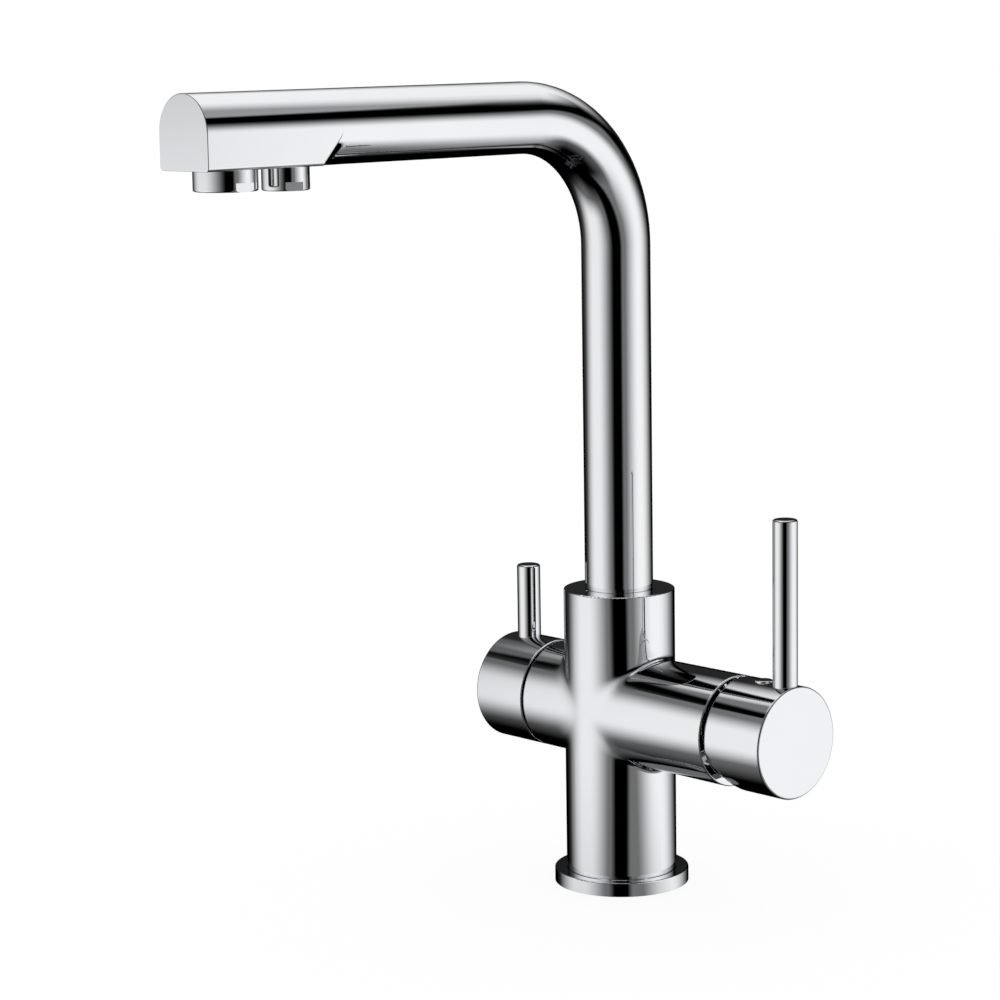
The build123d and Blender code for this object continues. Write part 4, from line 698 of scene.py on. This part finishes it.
def honeycomb(foot, radius, height):
    """A lattice of six-sided cells, cut round: a sheet of copied hexagons, each inset and opened, then given depth."""
    bpy.ops.mesh.primitive_circle_add(vertices=6, radius=CELL / sqrt(3), fill_type="NGON", location=foot)
    cell = bpy.context.object
    bpy.ops.object.transform_apply(location=True, rotation=True, scale=True)
    rows = int(radius / CELL) + 2
    cells = []
    for row in range(-rows, rows + 1):
        for place in range(-rows, rows + 1):
            across = (place + (row % 2) / 2) * CELL
            up = row * CELL * sqrt(3) / 2
            if across**2 + up**2 < (radius + CELL) ** 2:
                cells.append(copied(cell, "cell", Matrix.Translation((across, up, 0))))
    bpy.data.objects.remove(cell)
    sheet = join(cells, "cells")
    bpy.context.view_layer.objects.active = sheet
    sheet.select_set(True)
    bpy.ops.object.mode_set(mode="EDIT")
    bpy.ops.mesh.select_mode(type="FACE")
    bpy.ops.mesh.select_all(action="SELECT")
    bpy.ops.mesh.remove_doubles(threshold=CELL * 0.05)
    bpy.ops.mesh.select_all(action="SELECT")
    bpy.ops.mesh.inset(thickness=CELL_WALL / 2, use_individual=True)
    bpy.ops.mesh.delete(type="FACE")
    bpy.ops.mesh.select_all(action="SELECT")
    bpy.ops.mesh.extrude_region_move(TRANSFORM_OT_translate={"value": (0, 0, height)})
    bpy.ops.mesh.select_all(action="SELECT")
    bpy.ops.mesh.normals_make_consistent(inside=False)
    bpy.ops.object.mode_set(mode="OBJECT")
    middle = foot + Vector((0, 0, height / 2))
    bpy.ops.mesh.primitive_cylinder_add(vertices=72, radius=radius, depth=height * 3, location=middle)
    cutter = bpy.context.object
    bpy.ops.object.select_all(action="DESELECT")
    bpy.context.view_layer.objects.active = sheet
    sheet.select_set(True)
    cut = sheet.modifiers.new("cut", "BOOLEAN")
    cut.operation = "INTERSECT"
    cut.object = cutter
    cut.solver = "EXACT"
    bpy.ops.object.modifier_apply(modifier="cut")
    bpy.data.objects.remove(cutter)
    return sheet


# the mixed outlet's insert: a rim, the lattice inside it, and a small ring that stands out below its middle
insert_plastic = moulded("insert_plastic", INSERT_GREY, INSERT_GREY_SHADE, gloss=0.35, dull=0.5)
rim = hollow_ring(MIXED_FOOT, MIXED_RADIUS, RIM_WALL, INSERT_HEIGHT)
hub = hollow_ring(MIXED_FOOT - Vector((0, 0, HUB_DROP)), MIXED_RADIUS * HUB_SHARE, CELL_WALL, HUB_HEIGHT)
lattice_foot = MIXED_FOOT + Vector((0, 0, LATTICE_RISE))
lattice = honeycomb(lattice_foot, MIXED_RADIUS - RIM_WALL * LATTICE_IN_RIM, INSERT_HEIGHT - LATTICE_SHORTER)
honeycomb_insert = join([rim, lattice, hub], "mixed_honeycomb")
honeycomb_insert.data.materials.clear()
honeycomb_insert.data.materials.append(insert_plastic)
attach(honeycomb_insert, "spout")
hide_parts("mixed_insert")

# the filtered outlet's insert: a rim and three rings, a boss in the middle, and ribs across them all
ring_foot = FILTERED_FOOT + Vector((0, 0, RING_RISE))
ring_height = INSERT_HEIGHT - RING_SHORTER
rings = [hollow_ring(FILTERED_FOOT, FILTERED_RADIUS, RIM_WALL, INSERT_HEIGHT)]
rings += [hollow_ring(ring_foot, radius, RING_WALL, ring_height, sides=48) for radius in RING_RADII]
bpy.ops.mesh.primitive_cylinder_add(
    vertices=36, radius=BOSS_RADIUS, depth=ring_height, location=FILTERED_FOOT + Vector((0, 0, BOSS_MIDDLE))
)
boss = bpy.context.object
bpy.ops.object.transform_apply(location=True, rotation=True, scale=True)
for face in boss.data.polygons:
    face.select = face.normal.z < -0.9
bpy.ops.object.mode_set(mode="EDIT")
bpy.ops.mesh.select_mode(type="FACE")
bpy.ops.mesh.inset(thickness=BOSS_RADIUS * BOSS_INSET)
bpy.ops.transform.translate(value=(0, 0, -BOSS_TIP))
bpy.ops.object.mode_set(mode="OBJECT")
break_edges(boss, RIM_BREAK, segments=3)
rib_length = FILTERED_RADIUS - RIM_WALL / 2 - BOSS_RADIUS / 2
bpy.ops.mesh.primitive_cube_add(
    size=1,
    location=FILTERED_FOOT + Vector(((BOSS_RADIUS + rib_length) / 2, 0, INSERT_HEIGHT / 2)),
    scale=(rib_length, RIB_WALL, INSERT_HEIGHT * RIB_TALL),
)
rib = bpy.context.object
bpy.ops.object.transform_apply(location=True, rotation=True, scale=True)
break_edges(rib, RIB_BREAK, segments=2)
rings += [boss, rib]
middle = Matrix.Translation(FILTERED_FOOT)
for number in range(1, RIBS):
    turn = Matrix.Rotation(2 * pi * number / RIBS, 4, "Z")
    rings.append(copied(rib, f"rib_{number}", middle @ turn @ middle.inverted()))
ribbed_insert = join(rings, "filtered_rings")
ribbed_insert.data.materials.clear()
ribbed_insert.data.materials.append(insert_plastic)
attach(ribbed_insert, "spout")
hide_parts("filtered_insert")


# ------------------------------------------------------------------------------------------------ mixer cartridge
# A 35 mm ceramic cartridge in the mixer arm: moulded base, housing, turret and disc carrier, lapped ceramic
# discs, rubber seals, a turned steel stem on its pin, and the brass ring nut that clamps it all.
MOULDED_WHITE = (0.80, 0.80, 0.77, 1.0)
MOULDED_WHITE_SHADE = (0.72, 0.72, 0.69, 1.0)
ALUMINA = (0.90, 0.885, 0.85, 1.0)
ALUMINA_SHADE = (0.83, 0.81, 0.77, 1.0)
STEM_PIN_X = 0.058
arm_axis = {"centre": (0, 0, ARM_Z), "axis": (1, 0, 0)}
arm_steel = turned_metal("stem_steel", STEEL, STEEL_SHADE, **arm_axis)
arm_brass = turned_metal("turned_brass", BARE_BRASS, BARE_BRASS_SHADE, **arm_axis)
cartridge_plastic = moulded("cartridge_plastic", MOULDED_WHITE, MOULDED_WHITE_SHADE, gloss=0.42, dull=0.55)
lapped_ceramic = moulded("lapped_ceramic", ALUMINA, ALUMINA_SHADE, gloss=0.12, dull=0.2, depth=0.000002, cloud=400.0)
for piece in ("cartridge_base", "cartridge_housing", "cartridge_turret", "disc_carrier"):
    wear(piece, cartridge_plastic)
for piece in ("fixed_ceramic_disc", "moving_ceramic_disc"):
    wear(piece, lapped_ceramic)
wear("cartridge_seals", black_rubber)
wear("cartridge_stem", arm_steel)
wear("stem_pin", turned_metal("pin_steel", STEEL, STEEL_SHADE, (STEM_PIN_X, 0, ARM_Z), (0, 1, 0)))
wear("cartridge_nut", arm_brass)
wear("mixer_trim_dome", chrome("chromed_dome", wave_depth=0.00001, gloss=0.15, marks=0.1))


# ------------------------------------------------------------------------------------------------ mixer handle
# A hollow cast barrel, relieved below so that it can tilt, with a chromed rod screwed in as its lever. A steel
# grub screw on the stem hides under a small chromed button.
MIXER_SCREW_X = 0.0809
wear("mixer_barrel", chrome("chromed_mixer_barrel", broken=RIM_ROUND))
wear("mixer_lever", chrome("chromed_mixer_lever", stretch=(1, 1, 0.3), wave_depth=0.000008))
wear("index_plug", chrome("chromed_button", wave_depth=0.000008, gloss=0.04))
wear("mixer_grub_screw", turned_metal("mixer_screw_steel", STEEL, STEEL_SHADE, (MIXER_SCREW_X, 0, ARM_Z), (0, 0, 1)))


# ------------------------------------------------------------------------------------------------ filter valve
# A quarter-turn brass headwork screwed into the filter arm on a rubber washer. Two lapped ceramic discs shut
# the filtered water, and the spindle that turns one of them is held by a steel clip and sealed by a ring.
wear("filter_seat_washer", black_rubber)
wear("filter_headwork", arm_brass)
wear("filter_spindle", arm_brass)
for piece in ("filter_fixed_disc", "filter_moving_disc"):
    wear(piece, lapped_ceramic)
wear("spindle_o_ring", black_rubber)
wear("spindle_clip", arm_steel)


# ------------------------------------------------------------------------------------------------ filter handle
# The shorter handle of the filtered water: a hollow cast barrel with its own rod, fixed on the spindle by a
# steel grub screw from below. It only turns.
FILTER_SCREW_X = -0.0455
wear("filter_barrel", chrome("chromed_filter_barrel", broken=RIM_ROUND))
wear("filter_lever", chrome("chromed_filter_lever", stretch=(1, 1, 0.3), wave_depth=0.000008))
wear("filter_grub_screw", turned_metal("filter_screw_steel", STEEL, STEEL_SHADE, (FILTER_SCREW_X, 0, ARM_Z), (0, 0, 1)))
